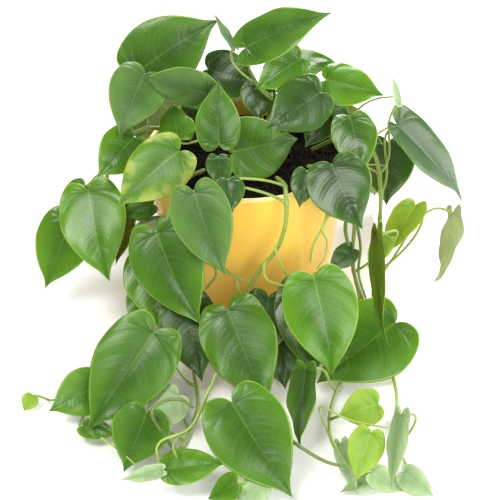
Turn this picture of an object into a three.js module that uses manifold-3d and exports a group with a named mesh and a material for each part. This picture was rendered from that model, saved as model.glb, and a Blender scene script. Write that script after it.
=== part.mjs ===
// A heartleaf philodendron growing in a tapered glazed pot, in millimetres, +Z up.
// The origin is the centre of the pot's flat foot. The front of the plant faces -Y.
// Each plant stem is one solid with its leaf stalks and its smallest leaves. Each larger leaf blade
// is a solid of its own, hanging a hair's breadth off the end of its stalk. Stems that trail past
// the rim run down the pot and then lie along the surface that the pot stands on.
import * as THREE from "three";
import { mergeVertices } from "three/addons/utils/BufferGeometryUtils.js";
import Module from "manifold-3d";

const wasm = await Module();
wasm.setup();

// Driving dimensions.
const POT_HEIGHT = 150;
const POT_RIM_RADIUS = 85;
const POT_FOOT_RADIUS = 62;
const POT_FLARE = 0.7;
const POT_WALL = 4;
const POT_FLOOR = 7;
const FOOT_ROUND = 3;
const POT_SEGMENTS = 36;
const WALL_STEPS = 6;

const SOIL_EDGE_HEIGHT = 136;
const SOIL_CROWN_HEIGHT = 142;
const TOUCHING_GAP = 0.4;

const STEM_RADIUS = 2;
const STALK_RADIUS = 1.2;
const TUBE_SIDES = 5;
const STEM_STEP = 22;
const STALK_STEP = 17;

// Joins are cleared of edges that stand off their neighbours by less than this.
const SLIVER = 0.03;

const BLADE_THICKNESS = 0.8;
const STALK_STANDOFF = 2.4;
const BLADE_ROWS = 8;
const BLADE_COLUMNS = 2;
const SMALL_BLADE_ROWS = 6;
const SMALL_BLADE_COLUMNS = 1;

const GREEN = { color: 0x4f8a33, roughness: 0.42, metalness: 0 };
const YOUNG_GREEN = { color: 0x8fb83e, roughness: 0.45, metalness: 0 };
const STEM_GREEN = { color: 0x7f9c45, roughness: 0.55, metalness: 0 };
const GLAZE = { color: 0xf0b545, roughness: 0.35, metalness: 0 };
const PEAT = { color: 0x1c1410, roughness: 0.95, metalness: 0 };

// Half the outline of a heart-shaped blade of unit length, from the stalk round a lobe to the drip
// tip, as cubic curves. x is across the blade and y runs from the stalk towards the tip.
const OUTLINE = [
  [[0, 0], [0.02, -0.09], [0.09, -0.135], [0.18, -0.13]],
  [[0.18, -0.13], [0.27, -0.12], [0.38, 0.06], [0.38, 0.27]],
  [[0.38, 0.27], [0.38, 0.48], [0.24, 0.68], [0.09, 0.84]],
  [[0.09, 0.84], [0.05, 0.885], [0.02, 0.95], [0, 1]],
];
const OUTLINE_WIDTH = 0.76;
// How far round the half outline each curve ends, as a share from 0 at the stalk to 1 at the tip.
const OUTLINE_STOPS = [0, 0.125, 0.5, 0.875, 1];
// The ribs that reach past this share of the length leave the midrib instead of the stalk.
const RIB_START = 0.12;

// The plant. A stem has a route, and its leaves follow in the order in which they grow.
// A leaf says how far along its stem it grows (0 to 1), where its blade starts, where the midrib
// heads (degrees round from the front, positive to the right), its pitch above the horizon, its
// roll about the midrib, and its length. Options: wide (width over the usual width), droop (how
// far the midrib arches over, in degrees), fold (how far each half rises from the midrib), cup
// (how far each half rolls down towards its margin), twist (along the midrib), and small, for a
// leaf that stays in one solid with its stem.
const small = true;
const STEMS = [
  {
    name: "stem_crown_left",
    route: [[-26, 8, 144], [-30, 14, 162], [-36, 20, 180]],
    leaves: [
      ["leaf_crown_left_top", 0.95, [-91, 32, 203], 99, 35, -65, 80, { wide: 1.02, droop: 14, fold: 5 }],
      ["leaf_crown_left_back", 1, [-33, 61, 190], 70, -10, -58, 49, { wide: 1.12, droop: 12 }],
      ["leaf_crown_left_low", 0.7, [-32, -16, 208], -100, 8, 98, 56, { wide: 0.95, droop: 8 }],
      ["leaf_crown_left_dark", 0.4, [-46, 14, 178], 9, -62, -12, 32, { small }],
    ],
  },
  {
    name: "stem_crown_right",
    route: [[14, 14, 145], [18, 19, 166], [20, 22, 184]],
    leaves: [
      ["leaf_crown_top", 0.95, [-1, 18, 232], 88, 30, -23, 76, { wide: 0.92, droop: 14, fold: 10 }],
      ["leaf_crown_right_back", 1, [21.2, 45, 195], 89, 24, -20, 57, { wide: 1.0, droop: 30, fold: 6 }],
      ["leaf_crown_right_young", 0.8, [42, 10, 225], -51, -14, 49, 46, { wide: 0.95, droop: 24, fold: 12 }],
      ["leaf_crown_right_side", 0.7, [65, 14, 204], 74, -4, -27, 49, { wide: 1.15, droop: 14 }],
      ["leaf_cupped", 0.4, [58, -12, 206], -57, -19, 50, 54, { wide: 1.15, droop: 20, cup: 34 }],
      ["leaf_crown_right_low", 0.5, [63.6, 0.4, 178.6], -39, -35, 32, 32, { small, wide: 1.05 }],
      ["leaf_crown_back_dark", 0.2, [9, 30, 192], -2, -44, 2, 32, { small, wide: 1.25 }],
      ["leaf_crown_edge", 1, [-11, 36, 224], -130, 51, -27, 34, { small, wide: 0.8 }],
      ["leaf_cupped_under", 0.35, [40, -4, 194], -44, -37, 27, 38, { small, wide: 0.9 }],
      ["leaf_crown_right_small", 0.5, [61, 6, 187], 71, -25, -58, 29, { small, wide: 1.15 }],
    ],
  },
  {
    name: "stem_crown_front",
    route: [[-8, -20, 145], [-12, -22, 155], [-16, -18, 166]],
    leaves: [
      ["leaf_upright", 0.9, [-23, -44, 178], -174, 68, 0, 51, { wide: 0.95, fold: 4, droop: -10 }],
      ["leaf_crinkled", 1, [-57, -14, 166], -169, 26, 9, 37, { wide: 1.1, fold: 4 }],
      ["leaf_middle", 0.8, [-10, -42, 169], 121, -4, -50, 66, { wide: 1.08, droop: 16, fold: 4 }],
      ["leaf_middle_small", 0.3, [-23, -70, 180], 9, -28, 6, 28, { small }],
    ],
  },
  {
    name: "vine_left",
    route: [
      [-48, 22, 143], [-64, 17, 154], [-84, 12, 160], [-104, 5, 152], [-116, 0, 132], [-118, -6, 110],
      [-104, -20, 88], [-93, -34, 60], [-90, -60, 22], [-104, -92, 4], [-124, -126, 4], [-144, -150, 4], [-158, -158, 7],
    ],
    leaves: [
      ["leaf_crown_left_side", 0.12, [-84, 11, 211], -18, -19, 27, 59, { wide: 1.05, droop: 45, fold: 8 }],
      ["leaf_left_rim", 0.22, [-93, -20, 169], -42, -24, 42, 45, { wide: 1.15, droop: 14, fold: 8 }],
      ["leaf_left_behind", 0.3, [-142, 26, 95], -52, -26, 28, 29, { small, wide: 1.1 }],
      ["leaf_left_under_rim", 0.34, [-79, -36, 115], -71, -11, 65, 28, { small, wide: 0.95 }],
      ["leaf_left_upper", 0.44, [-131, -35, 127], 13, -36, -15, 78, { wide: 0.95, droop: 20, fold: 8 }],
      ["leaf_left_outer", 0.4, [-150, -12, 85], -39, -53, 29, 65, { droop: 14 }],
      ["leaf_left_back", 0.42, [-106.3, -4, 101], -12, -46, -15, 50, { small, wide: 0.85 }],
      ["leaf_left_inner", 0.44, [-99.6, -34, 112], -9, -57, 68, 50, { small, wide: 0.95, droop: 16 }],
      ["leaf_inner_left", 0.6, [-85, -58, 44], -21, -42, 21, 35, { small, wide: 1.1 }],
      ["leaf_left_sliver", 0.4, [-74.1, -40, 101], -78, -12, 6, 27, { small }],
      ["leaf_left_floor", 0.84, [-117, -166, 30], -61, -13, 47, 44, { wide: 1.15, fold: 6 }],
      ["leaf_left_under", 0.8, [-127, -195, 12], 74, -3, -6, 29, { small, droop: 4 }],
      ["leaf_left_tip", 1, [-171, -160, 13], -36, -35, 35, 14, { small, wide: 1.3 }],
    ],
  },
  {
    name: "vine_front_left",
    route: [
      [-36, -28, 143], [-46, -54, 153], [-54, -72, 157], [-62, -86, 138], [-64, -88, 112], [-60, -88, 84],
      [-50, -96, 40], [-44, -122, 8], [-40, -160, 4], [-46, -196, 4], [-54, -220, 4], [-58, -244, 4],
    ],
    leaves: [
      ["leaf_dappled", 0.1, [-55, -58, 178], -59, -26, 37, 65, { droop: 14, fold: 6 }],
      ["leaf_glossy", 0.34, [-72, -94, 125], 30, -45, -32, 82, { wide: 0.93, droop: 20, fold: 8 }],
      ["leaf_glossy_under", 0.38, [-79.6, -62, 81], 11, -38, -6, 64, { wide: 1.05, droop: 16 }],
      ["leaf_shaded", 0.55, [-50.8, -107.6, 68.6], 17, -41, -11, 67, { small, wide: 0.95, droop: 14 }],
      ["leaf_big_left", 0.68, [-73, -155, 72], -43, -35, 29, 91, { wide: 0.92, droop: 14, fold: 6 }],
      ["leaf_floor_left", 0.88, [-77, -204, 33], -15, -12, 17, 54, { wide: 1.08, droop: 10 }],
      ["leaf_floor_back", 0.84, [-54, -186, 35], -57, -33, 22, 36, { small, wide: 1.2 }],
      ["leaf_floor_flat", 0.9, [-59, -254, 22], 92, 7, -18, 44, { wide: 0.95, fold: 8, droop: 6 }],
      ["leaf_floor_edge", 1, [-63, -262, 27], -78, -8, 87, 30, { small, wide: 0.7, droop: 4 }],
    ],
  },
  {
    name: "vine_front",
    route: [
      [24, -40, 143], [29, -66, 153], [30, -88, 157], [30, -98, 138], [24, -98, 114], [10, -98, 92],
      [-2, -98, 64], [-4, -106, 30], [0, -130, 5], [4, -165, 4], [8, -200, 4], [14, -235, 4], [10, -262, 4],
    ],
    leaves: [
      ["leaf_middle_low", 0.1, [-15, -92, 172], 8, -38, -7, 27, { small, wide: 1.2 }],
      ["leaf_silvery", 0.16, [-41, -100, 166], 26, -48, -31, 69, { wide: 0.92, droop: 20, fold: 10 }],
      ["leaf_lower_middle", 0.42, [-15, -126, 72], 25, -36, -20, 84, { wide: 0.94, droop: 16 }],
      ["leaf_inner_dark", 0.5, [17, -100, 66], -10, -44, 7, 54, { small, wide: 1.05 }],
      ["leaf_inner_low", 0.6, [24, -112.8, 32], 13, -41, -11, 40, { small, wide: 1.0 }],
      ["leaf_biggest", 0.76, [-11, -224, 59], 38, -33, -18, 82, { wide: 1.02, droop: 8, fold: 8 }],
      ["leaf_front_low", 0.96, [-8, -272, 24], -94, -38, 36, 29, { small }],
      ["leaf_front_tip", 1, [10.4, -266, 20], -40, -26, 30, 30, { small }],
    ],
  },
  {
    name: "vine_right",
    route: [
      [50, -22, 143], [64, -38, 153], [76, -50, 158], [86, -54, 140], [88, -50, 108], [88, -50, 66],
      [96, -56, 24], [92, -84, 5], [80, -120, 4], [68, -156, 4], [64, -192, 4], [70, -222, 4], [78, -244, 4],
    ],
    leaves: [
      ["leaf_round_right", 0.12, [66, -79, 178], 24, -34, -25, 56, { wide: 1.2, droop: 16, cup: 14 }],
      ["leaf_shadow_right", 0.16, [46, -76, 170], -15, -42, 11, 29, { small, wide: 1.0 }],
      ["leaf_tiny_right", 0.36, [86, -64, 89], -54, -22, 41, 27, { small, wide: 0.95 }],
      ["leaf_lime_behind", 0.38, [112, -80, 111], -47, -39, 23, 29, { small, wide: 0.85 }],
      ["leaf_bright", 0.46, [52, -132, 106], 20, -49, -16, 78, { droop: 18, fold: 6 }],
      ["leaf_under_bright", 0.5, [46, -98, 76], 7, -42, -8, 76, { wide: 0.92, droop: 12 }],
      ["leaf_narrow", 0.72, [45, -180, 55], -13, -47, -50, 60, { wide: 0.9, fold: 12 }],
      ["leaf_lime_small", 0.82, [99.2, -196, 35], -76, -11, 57, 32, { small, wide: 1.25 }],
      ["leaf_lime_heart", 0.92, [90, -246, 49], -24, -47, 23, 37, {}],
      ["leaf_lime_thin", 0.95, [70, -239.6, 33], 19, -46, -75, 39, { small }],
      ["leaf_sliver_low", 0.97, [96, -250, 10], -71, -9, -13, 30, { small }],
      ["leaf_right_floor", 1, [92, -262, 24], 70, -20, -26, 27, { small }],
    ],
  },
  {
    name: "vine_far_right",
    route: [
      [54, 6, 143], [72, 3, 154], [89, 0, 160], [106, -6, 144], [112, -10, 110], [112, -14, 68],
      [108, -36, 24], [112, -76, 5], [118, -114, 4], [120, -152, 4], [114, -194, 4], [120, -228, 4], [124, -250, 4],
    ],
    leaves: [
      ["leaf_twisted", 0.08, [83, -24, 189], 12, -28, -7, 50, { wide: 0.98, droop: 30, twist: 24 }],
      ["leaf_long_right", 0.24, [124, 0, 169], 77, -42, -3, 87, { droop: 8, fold: 16 }],
      ["leaf_right_sliver", 0.2, [124, -2, 191], -160, 57, -46, 25, { small, wide: 0.9 }],
      ["leaf_right_back", 0.3, [121, 37, 131], -4, -43, -2, 54, { wide: 1.15, droop: 14 }],
      ["leaf_lime_folded", 0.42, [139, -31, 110], -39, -30, -17, 48, { wide: 1.0, fold: 16, droop: 12 }],
      ["leaf_edge_on", 0.44, [175, -3, 85], -12, -51, 115, 64, { wide: 0.9, fold: 8, cup: 6 }],
      ["leaf_hanging", 0.4, [103, -97, 124], -2, -50, -70, 89, { wide: 0.45, fold: 12, droop: 8 }],
      ["leaf_big_right", 0.6, [121, -95, 37], -55, -17, 29, 83, { wide: 1.12, droop: 10, fold: 4 }],
      ["leaf_silver_edge", 0.9, [112, -246, 66], -19, -48, -55, 53, { wide: 0.85, fold: 6 }],
      ["leaf_right_end", 1, [115, -262, 24], 71, -31, -29, 29, { small }],
    ],
  },
  {
    name: "vine_back_left",
    route: [
      [-28, 36, 143], [-44, 60, 153], [-54, 76, 158], [-62, 88, 136], [-62, 94, 90], [-62, 100, 40],
      [-68, 120, 6], [-80, 148, 4], [-88, 172, 4],
    ],
    leaves: [
      ["leaf_back_left_crown", 0.1, [-44, 66, 176], -150, -20, 0, 70, { droop: 22 }],
      ["leaf_back_left_rim", 0.3, [-78, 84, 148], -150, -50, 0, 74, { droop: 20 }],
      ["leaf_back_left_mid", 0.5, [-44, 116, 108], 172, -52, 0, 80, { droop: 18 }],
      ["leaf_back_left_side", 0.42, [-87.6, 82, 114], -140, -56, 0, 44, { small }],
      ["leaf_back_left_low", 0.66, [-86, 112, 62], -140, -40, 0, 70, { droop: 14 }],
      ["leaf_back_left_floor", 0.9, [-66, 160, 38], 168, -24, 0, 60, { small }],
      ["leaf_back_left_tip", 1, [-96, 172, 20], -160, -14, 0, 36, { small }],
    ],
  },
  {
    name: "vine_back_right",
    route: [
      [32, 34, 143], [48, 58, 153], [58, 74, 158], [66, 86, 136], [66, 92, 90], [66, 100, 40],
      [72, 118, 6], [84, 146, 4], [88, 170, 4],
    ],
    leaves: [
      ["leaf_back_right_crown", 0.1, [36, 66, 178], 156, -20, 0, 72, { droop: 22 }],
      ["leaf_back_middle", 0.2, [-4, 88, 160], 178, -44, 0, 74, { droop: 20 }],
      ["leaf_back_right_rim", 0.3, [82, 80, 146], 146, -50, 0, 72, { droop: 20 }],
      ["leaf_back_right_mid", 0.5, [46, 114, 106], -174, -52, 0, 78, { droop: 18 }],
      ["leaf_back_right_side", 0.42, [92, 80.4, 102], 132, -54, 0, 58, { small }],
      ["leaf_back_right_low", 0.66, [90, 108, 60], 138, -38, 0, 70, { droop: 14 }],
      ["leaf_back_right_floor", 0.9, [66, 158, 36], -168, -24, 0, 58, { small }],
      ["leaf_back_right_tip", 1, [98, 170, 20], 150, -14, 0, 36, { small }],
    ],
  },
];

const degrees = THREE.MathUtils.degToRad;

// A point on the half outline. share runs from 0 at the stalk to 1 at the tip.
function outlinePoint(share) {
  const last = OUTLINE.length - 1;
  const curve = Math.min(last, OUTLINE_STOPS.filter((stop) => stop <= share).length - 1);
  const start = OUTLINE_STOPS[curve];
  const t = (share - start) / (OUTLINE_STOPS[curve + 1] - start);
  const [a, b, c, d] = OUTLINE[curve].map(([x, y]) => new THREE.Vector2(x, y));
  return new THREE.CubicBezierCurve(a, b, c, d).getPoint(t);
}

// A point of the flat blade of unit length, on the rib that ends at a share of the outline.
// along runs from 0 at the midrib to 1 at the margin.
function ribPoint(share, along) {
  const margin = outlinePoint(share);
  const start = new THREE.Vector2(0, Math.max(0, (margin.y - RIB_START) / (1 - RIB_START)));
  const bend = new THREE.Vector2(margin.x * 0.55, start.y + (margin.y - start.y) * 0.4);
  return new THREE.QuadraticBezierCurve(start, bend, margin).getPoint(along);
}

// Carries a point of the flat blade onto the arched, folded and twisted one. The midrib leaves the
// stalk along -Y and the upper side faces +Z. lift is the height above the blade's middle surface.
function shapedPoint(flat, side, lift, length, { wide = 1, droop = 10, fold = 5, cup = 18, twist = 0 }) {
  const arch = degrees(droop || 0.01) / length;
  const y = flat.y * length;
  const angle = arch * y;
  const midrib = new THREE.Vector3(0, -Math.sin(angle) / arch, -(1 - Math.cos(angle)) / arch);
  const tangent = new THREE.Vector3(0, -Math.cos(angle), -Math.sin(angle));
  const turn = degrees(twist) * Math.max(0, flat.y);
  const across = new THREE.Vector3(1, 0, 0).applyAxisAngle(tangent, turn);
  const up = new THREE.Vector3(0, -Math.sin(angle), Math.cos(angle)).applyAxisAngle(tangent, turn);

  const x = flat.x * wide * length;
  const half = (OUTLINE_WIDTH / 2) * wide * length;
  const curl = degrees(cup || 0.01) / half;
  const rise = degrees(fold);
  const out = (Math.sin(rise) - Math.sin(rise - curl * x)) / curl;
  const high = (Math.cos(rise - curl * x) - Math.cos(rise)) / curl;
  const lean = rise - curl * x;
  return midrib
    .addScaledVector(across, side * (out - lift * Math.sin(lean)))
    .addScaledVector(up, high + lift * Math.cos(lean));
}

// A closed blade: an upper and a lower skin that meet in a thin wall along the margin.
function bladeGeometry(length, options) {
  const rows = options.small ? SMALL_BLADE_ROWS : BLADE_ROWS;
  const columns = options.small ? SMALL_BLADE_COLUMNS : BLADE_COLUMNS;
  const vertices = [];
  const known = new Map();
  const triangles = [];
  const vertex = (row, column, side, lift) => {
    const flat = ribPoint(row / rows, column / columns);
    // The two halves share the midrib, where the lean of either half would open a crack.
    const point = column && flat.x > 1e-6
      ? shapedPoint(flat, side, lift, length, options)
      : shapedPoint(flat, 1, lift, length, { ...options, fold: 0 });
    const key = point.toArray().map((value) => value.toFixed(3)).join();
    if (!known.has(key)) {
      known.set(key, vertices.length / 3);
      vertices.push(point.x, point.y, point.z);
    }
    return known.get(key);
  };
  const triangle = (a, b, c) => {
    if (a !== b && b !== c && c !== a) triangles.push(a, b, c);
  };
  const quad = (a, b, c, d, turned) => {
    if (turned) [b, d] = [d, b];
    triangle(a, b, c);
    triangle(a, c, d);
  };
  const lift = BLADE_THICKNESS / 2;
  for (const side of [-1, 1]) {
    for (let row = 0; row < rows; row += 1) {
      for (let column = 0; column < columns; column += 1) {
        for (const skin of [lift, -lift]) {
          const corners = [[row, column], [row + 1, column], [row + 1, column + 1], [row, column + 1]]
            .map(([r, c]) => vertex(r, c, side, skin));
          quad(...corners, side * skin < 0);
        }
      }
      const wall = [[row, lift], [row, -lift], [row + 1, -lift], [row + 1, lift]]
        .map(([r, skin]) => vertex(r, columns, side, skin));
      quad(...wall, side > 0);
    }
  }
  const geometry = new THREE.BufferGeometry();
  geometry.setAttribute("position", new THREE.Float32BufferAttribute(vertices, 3));
  geometry.setIndex(triangles);
  return geometry;
}

// How many straight lengths of about `step` millimetres follow a curve.
function stepsAlong(curve, step) {
  return Math.max(3, Math.round(curve.getLength() / step));
}

// The one of several points that is nearest to a place.
function nearest(points, place) {
  return points.reduce((best, point) => (point.distanceTo(place) < best.distanceTo(place) ? point : best));
}

// A closed round tube along a curve.
function tubeGeometry(curve, radius, step) {
  const section = new THREE.Shape(
    Array.from({ length: TUBE_SIDES }, (_, side) => {
      const angle = (side / TUBE_SIDES) * 2 * Math.PI;
      return new THREE.Vector2(Math.cos(angle), Math.sin(angle)).multiplyScalar(radius);
    }),
  );
  const steps = stepsAlong(curve, step);
  return new THREE.ExtrudeGeometry(section, { steps, bevelEnabled: false, extrudePath: curve });
}

// A geometry as a solid that can be joined to others.
function solidOf(geometry) {
  const bare = geometry.clone();
  bare.deleteAttribute("normal");
  bare.deleteAttribute("uv");
  const merged = mergeVertices(bare, 1e-4);
  return new wasm.Manifold(
    new wasm.Mesh({
      numProp: 3,
      vertProperties: merged.attributes.position.array,
      triVerts: new Uint32Array(merged.index.array),
    }),
  );
}

// A solid as a geometry that a mesh can show.
function geometryOf(solid) {
  const { vertProperties, triVerts } = solid.getMesh();
  const geometry = new THREE.BufferGeometry();
  geometry.setAttribute("position", new THREE.BufferAttribute(vertProperties, 3));
  geometry.setIndex(new THREE.BufferAttribute(triVerts, 1));
  geometry.computeVertexNormals();
  return geometry;
}

function namedMesh(name, geometry, finish) {
  const mesh = new THREE.Mesh(geometry, new THREE.MeshStandardMaterial(finish));
  mesh.name = name;
  return mesh;
}

// Revolves a profile of [radius, height] points round the Z axis.
function revolved(profile) {
  const points = profile.map(([radius, height]) => new THREE.Vector2(radius, height));
  return new THREE.LatheGeometry(points, POT_SEGMENTS).rotateX(Math.PI / 2);
}

// The pot's outer radius at a height above its foot.
function wallRadius(height) {
  return POT_FOOT_RADIUS + (POT_RIM_RADIUS - POT_FOOT_RADIUS) * (height / POT_HEIGHT) ** POT_FLARE;
}

// The pot's wall from one height to another, moved in by inset, as [radius, height] points.
function wallProfile(from, to, inset) {
  return Array.from({ length: WALL_STEPS + 1 }, (_, step) => {
    const height = from + ((to - from) * step) / WALL_STEPS;
    return [wallRadius(height) - inset, height];
  });
}

// A flat-footed pot with a rounded rim, open at the top.
function pot() {
  const foot = [[0, 0], [POT_FOOT_RADIUS - FOOT_ROUND, 0]];
  const outside = wallProfile(FOOT_ROUND, POT_HEIGHT - POT_WALL / 2, 0);
  const rim = [[POT_RIM_RADIUS - POT_WALL * 0.3, POT_HEIGHT], [POT_RIM_RADIUS - POT_WALL * 0.7, POT_HEIGHT]];
  const inside = wallProfile(POT_FLOOR, POT_HEIGHT - POT_WALL / 2, POT_WALL).reverse();
  return namedMesh("pot", revolved([...foot, ...outside, ...rim, ...inside, [0, POT_FLOOR]]), GLAZE);
}

// The potting soil: it fills the pot to a low mound below the rim.
function soil() {
  const base = POT_FLOOR + TOUCHING_GAP;
  const side = wallProfile(base, SOIL_EDGE_HEIGHT, POT_WALL + TOUCHING_GAP);
  const edge = side.at(-1)[0];
  const mound = [0.75, 0.4, 0].map((share) => [
    edge * share,
    SOIL_EDGE_HEIGHT + (SOIL_CROWN_HEIGHT - SOIL_EDGE_HEIGHT) * (1 - share * share),
  ]);
  return namedMesh("soil", revolved([[0, base], ...side, ...mound]), PEAT);
}

// A leaf blade in place, as a named mesh.
function blade([name, , at, heading, pitch, roll, length, options]) {
  const finish = name.includes("lime") || name.includes("young") ? YOUNG_GREEN : GREEN;
  const mesh = namedMesh(name, bladeGeometry(length, options), finish);
  mesh.position.set(...at);
  mesh.rotation.set(-degrees(pitch), degrees(roll), degrees(heading), "ZXY");
  mesh.updateMatrixWorld();
  return mesh;
}

// The stalk from a point on the stem to a blade. It comes to the blade from behind and below, and
// stops just short of a blade that is a solid of its own.
function stalk(from, mesh, joined) {
  const base = mesh.position;
  const arrival = new THREE.Vector3(0, -0.45, 0.9).normalize().applyQuaternion(mesh.quaternion);
  const end = base.clone().addScaledVector(arrival, joined ? 0 : -STALK_STANDOFF);
  const reach = from.distanceTo(end) * 0.4;
  const leave = new THREE.Vector3().subVectors(end, from).setZ(0).normalize().add(new THREE.Vector3(0, 0, 0.8));
  const curve = new THREE.CubicBezierCurve3(
    from,
    from.clone().addScaledVector(leave, reach * 0.8),
    end.clone().addScaledVector(arrival, -reach),
    end,
  );
  return tubeGeometry(curve, STALK_RADIUS, STALK_STEP);
}

// One stem with its stalks and small leaves, followed by its larger leaves.
function growth({ name, route, leaves }) {
  const points = route.map((point) => new THREE.Vector3(...point));
  const curve = new THREE.CatmullRomCurve3(points, false, "catmullrom", 0.5);
  const stations = curve.getSpacedPoints(stepsAlong(curve, STEM_STEP));
  const pieces = [solidOf(tubeGeometry(curve, STEM_RADIUS, STEM_STEP))];
  const blades = [];
  for (const leaf of leaves) {
    const mesh = blade(leaf);
    const joined = Boolean(leaf.at(-1).small);
    pieces.push(solidOf(stalk(nearest(stations, curve.getPoint(leaf[1])), mesh, joined)));
    if (joined) pieces.push(solidOf(mesh.geometry.clone().applyMatrix4(mesh.matrixWorld)));
    else blades.push(mesh);
  }
  const joinedStem = pieces.reduce((whole, piece) => whole.add(piece)).simplify(SLIVER);
  const [body] = joinedStem.decompose().sort((a, b) => b.volume() - a.volume());
  return [namedMesh(name, geometryOf(body), STEM_GREEN), ...blades];
}

const philodendron = new THREE.Group();
philodendron.add(pot(), soil(), ...STEMS.flatMap(growth));

export default philodendron;
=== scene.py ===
"""Heartleaf philodendron in a tapered glazed pot: leaves, vines, soil, pot, lights and camera."""

import logging
import math
from collections.abc import Callable
from dataclasses import dataclass
from enum import Enum

import bmesh
import bpy
import numpy as np
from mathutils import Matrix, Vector


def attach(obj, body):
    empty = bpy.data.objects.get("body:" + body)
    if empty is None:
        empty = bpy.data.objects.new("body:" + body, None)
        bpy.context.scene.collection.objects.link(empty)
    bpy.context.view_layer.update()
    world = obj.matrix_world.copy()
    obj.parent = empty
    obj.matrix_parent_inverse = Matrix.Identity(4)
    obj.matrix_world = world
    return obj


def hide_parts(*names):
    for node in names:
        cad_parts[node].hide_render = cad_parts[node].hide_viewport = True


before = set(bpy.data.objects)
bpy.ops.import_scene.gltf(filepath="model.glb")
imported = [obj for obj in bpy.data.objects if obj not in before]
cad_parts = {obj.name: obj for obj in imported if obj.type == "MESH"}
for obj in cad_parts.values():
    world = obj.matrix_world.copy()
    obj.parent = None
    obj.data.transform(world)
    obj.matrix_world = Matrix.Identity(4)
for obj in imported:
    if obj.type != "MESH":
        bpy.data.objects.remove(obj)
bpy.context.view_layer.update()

logging.basicConfig(level=logging.INFO, format="%(message)s")
log = logging.getLogger("philodendron")

MM = 0.001
WELD_REACH = 2e-6  # Corners of a blade nearer than this are one.
BODY = "root"

Colour = tuple[float, float, float]
Point = tuple[float, float, float]


# ---------------------------------------------------------------------------
# Node helpers
# ---------------------------------------------------------------------------


class NodeWeb:
    """Adds nodes to a tree and links them in one step."""

    def __init__(self, tree: bpy.types.NodeTree) -> None:
        """Starts from an empty tree.

        Args:
            tree: The node tree to fill.
        """
        self.tree = tree
        tree.nodes.clear()

    def add(self, kind: str, links: dict | None = None, **settings: object) -> bpy.types.Node:
        """Adds one node.

        Args:
            kind: The node's type name.
            links: Socket name or number to a value, or to the socket that feeds it.
            settings: Node properties, such as operation.

        Returns:
            The new node.
        """
        node = self.tree.nodes.new(kind)
        for key, value in settings.items():
            setattr(node, key, value)
        return self.fill(node, links or {})

    def fill(self, node: bpy.types.Node, links: dict) -> bpy.types.Node:
        """Sets or links a node's inputs.

        Args:
            node: The node.
            links: Socket name or number to a value, or to the socket that feeds it.

        Returns:
            The same node.
        """
        for key, value in links.items():
            if isinstance(value, bpy.types.NodeSocket):
                self.tree.links.new(value, node.inputs[key])
            else:
                node.inputs[key].default_value = value
        return node

    def surface(self, links: dict) -> None:
        """Ends a material with its shader.

        Args:
            links: Principled input name to a value or a socket.
        """
        shader = self.add("ShaderNodeBsdfPrincipled", links)
        self.add("ShaderNodeOutputMaterial", {"Surface": shader.outputs[0]})

    def bump(self, height: bpy.types.NodeSocket, strength: float, depth: float) -> bpy.types.NodeSocket:
        """Turns a height into a normal.

        Args:
            height: The height's socket.
            strength: How strongly it shows.
            depth: The relief for a height of 1, in metres.

        Returns:
            The normal's socket.
        """
        links = {"Strength": strength, "Distance": depth, "Height": height}
        return self.add("ShaderNodeBump", links).outputs[0]

    def math(self, operation: str, *values: object, clamp: bool = False) -> bpy.types.NodeSocket:
        """Adds a Math node.

        Args:
            operation: What it works out.
            values: Its inputs in order, as numbers or sockets.
            clamp: Whether the result is kept between 0 and 1.

        Returns:
            The result's socket.
        """
        links = dict(enumerate(values))
        return self.add("ShaderNodeMath", links, operation=operation, use_clamp=clamp).outputs[0]

    def mix(self, factor: object, first: object, second: object) -> bpy.types.NodeSocket:
        """Adds a colour Mix node.

        Args:
            factor: How much of the second colour shows, as a number or a socket.
            first: The colour at 0, as a tuple or a socket.
            second: The colour at 1, as a tuple or a socket.

        Returns:
            The mixed colour's socket.
        """
        links = {0: factor}
        for socket, paint in ((6, first), (7, second)):
            links[socket] = (*paint, 1.0) if isinstance(paint, tuple) else paint
        return self.add("ShaderNodeMix", links, data_type="RGBA").outputs[2]

    def ramp(self, value: bpy.types.NodeSocket, low: object, high: object) -> bpy.types.NodeSocket:
        """Smoothly maps a value from low..high to 0..1.

        Args:
            value: The value's socket.
            low: What becomes 0, as a number or a socket.
            high: What becomes 1, as a number or a socket.

        Returns:
            The mapped value's socket.
        """
        links = {0: value, 1: low, 2: high}
        return self.add("ShaderNodeMapRange", links, interpolation_type="SMOOTHSTEP").outputs[0]


def srgb(red: int, green: int, blue: int) -> Colour:
    """Turns a screen colour into the linear colour that shaders use.

    Args:
        red: Red, from 0 to 255.
        green: Green, from 0 to 255.
        blue: Blue, from 0 to 255.

    Returns:
        The linear colour.
    """

    def linear(value: int) -> float:
        """Returns one linear channel."""
        share = value / 255
        return share / 12.92 if share <= 0.04045 else ((share + 0.055) / 1.055) ** 2.4

    return linear(red), linear(green), linear(blue)


def new_group(
    name: str, inputs: dict[str, tuple[str, object]], outputs: dict[str, str]
) -> bpy.types.NodeTree:
    """Makes an empty shader group with named sockets.

    Args:
        name: The group's name.
        inputs: Socket name to its type and default value.
        outputs: Socket name to its type.

    Returns:
        The new group.
    """
    group = bpy.data.node_groups.new(name, "ShaderNodeTree")
    for label, (kind, value) in inputs.items():
        socket = group.interface.new_socket(label, in_out="INPUT", socket_type=kind)
        if value is not None:
            socket.default_value = value
    for label, kind in outputs.items():
        group.interface.new_socket(label, in_out="OUTPUT", socket_type=kind)
    return group


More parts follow.
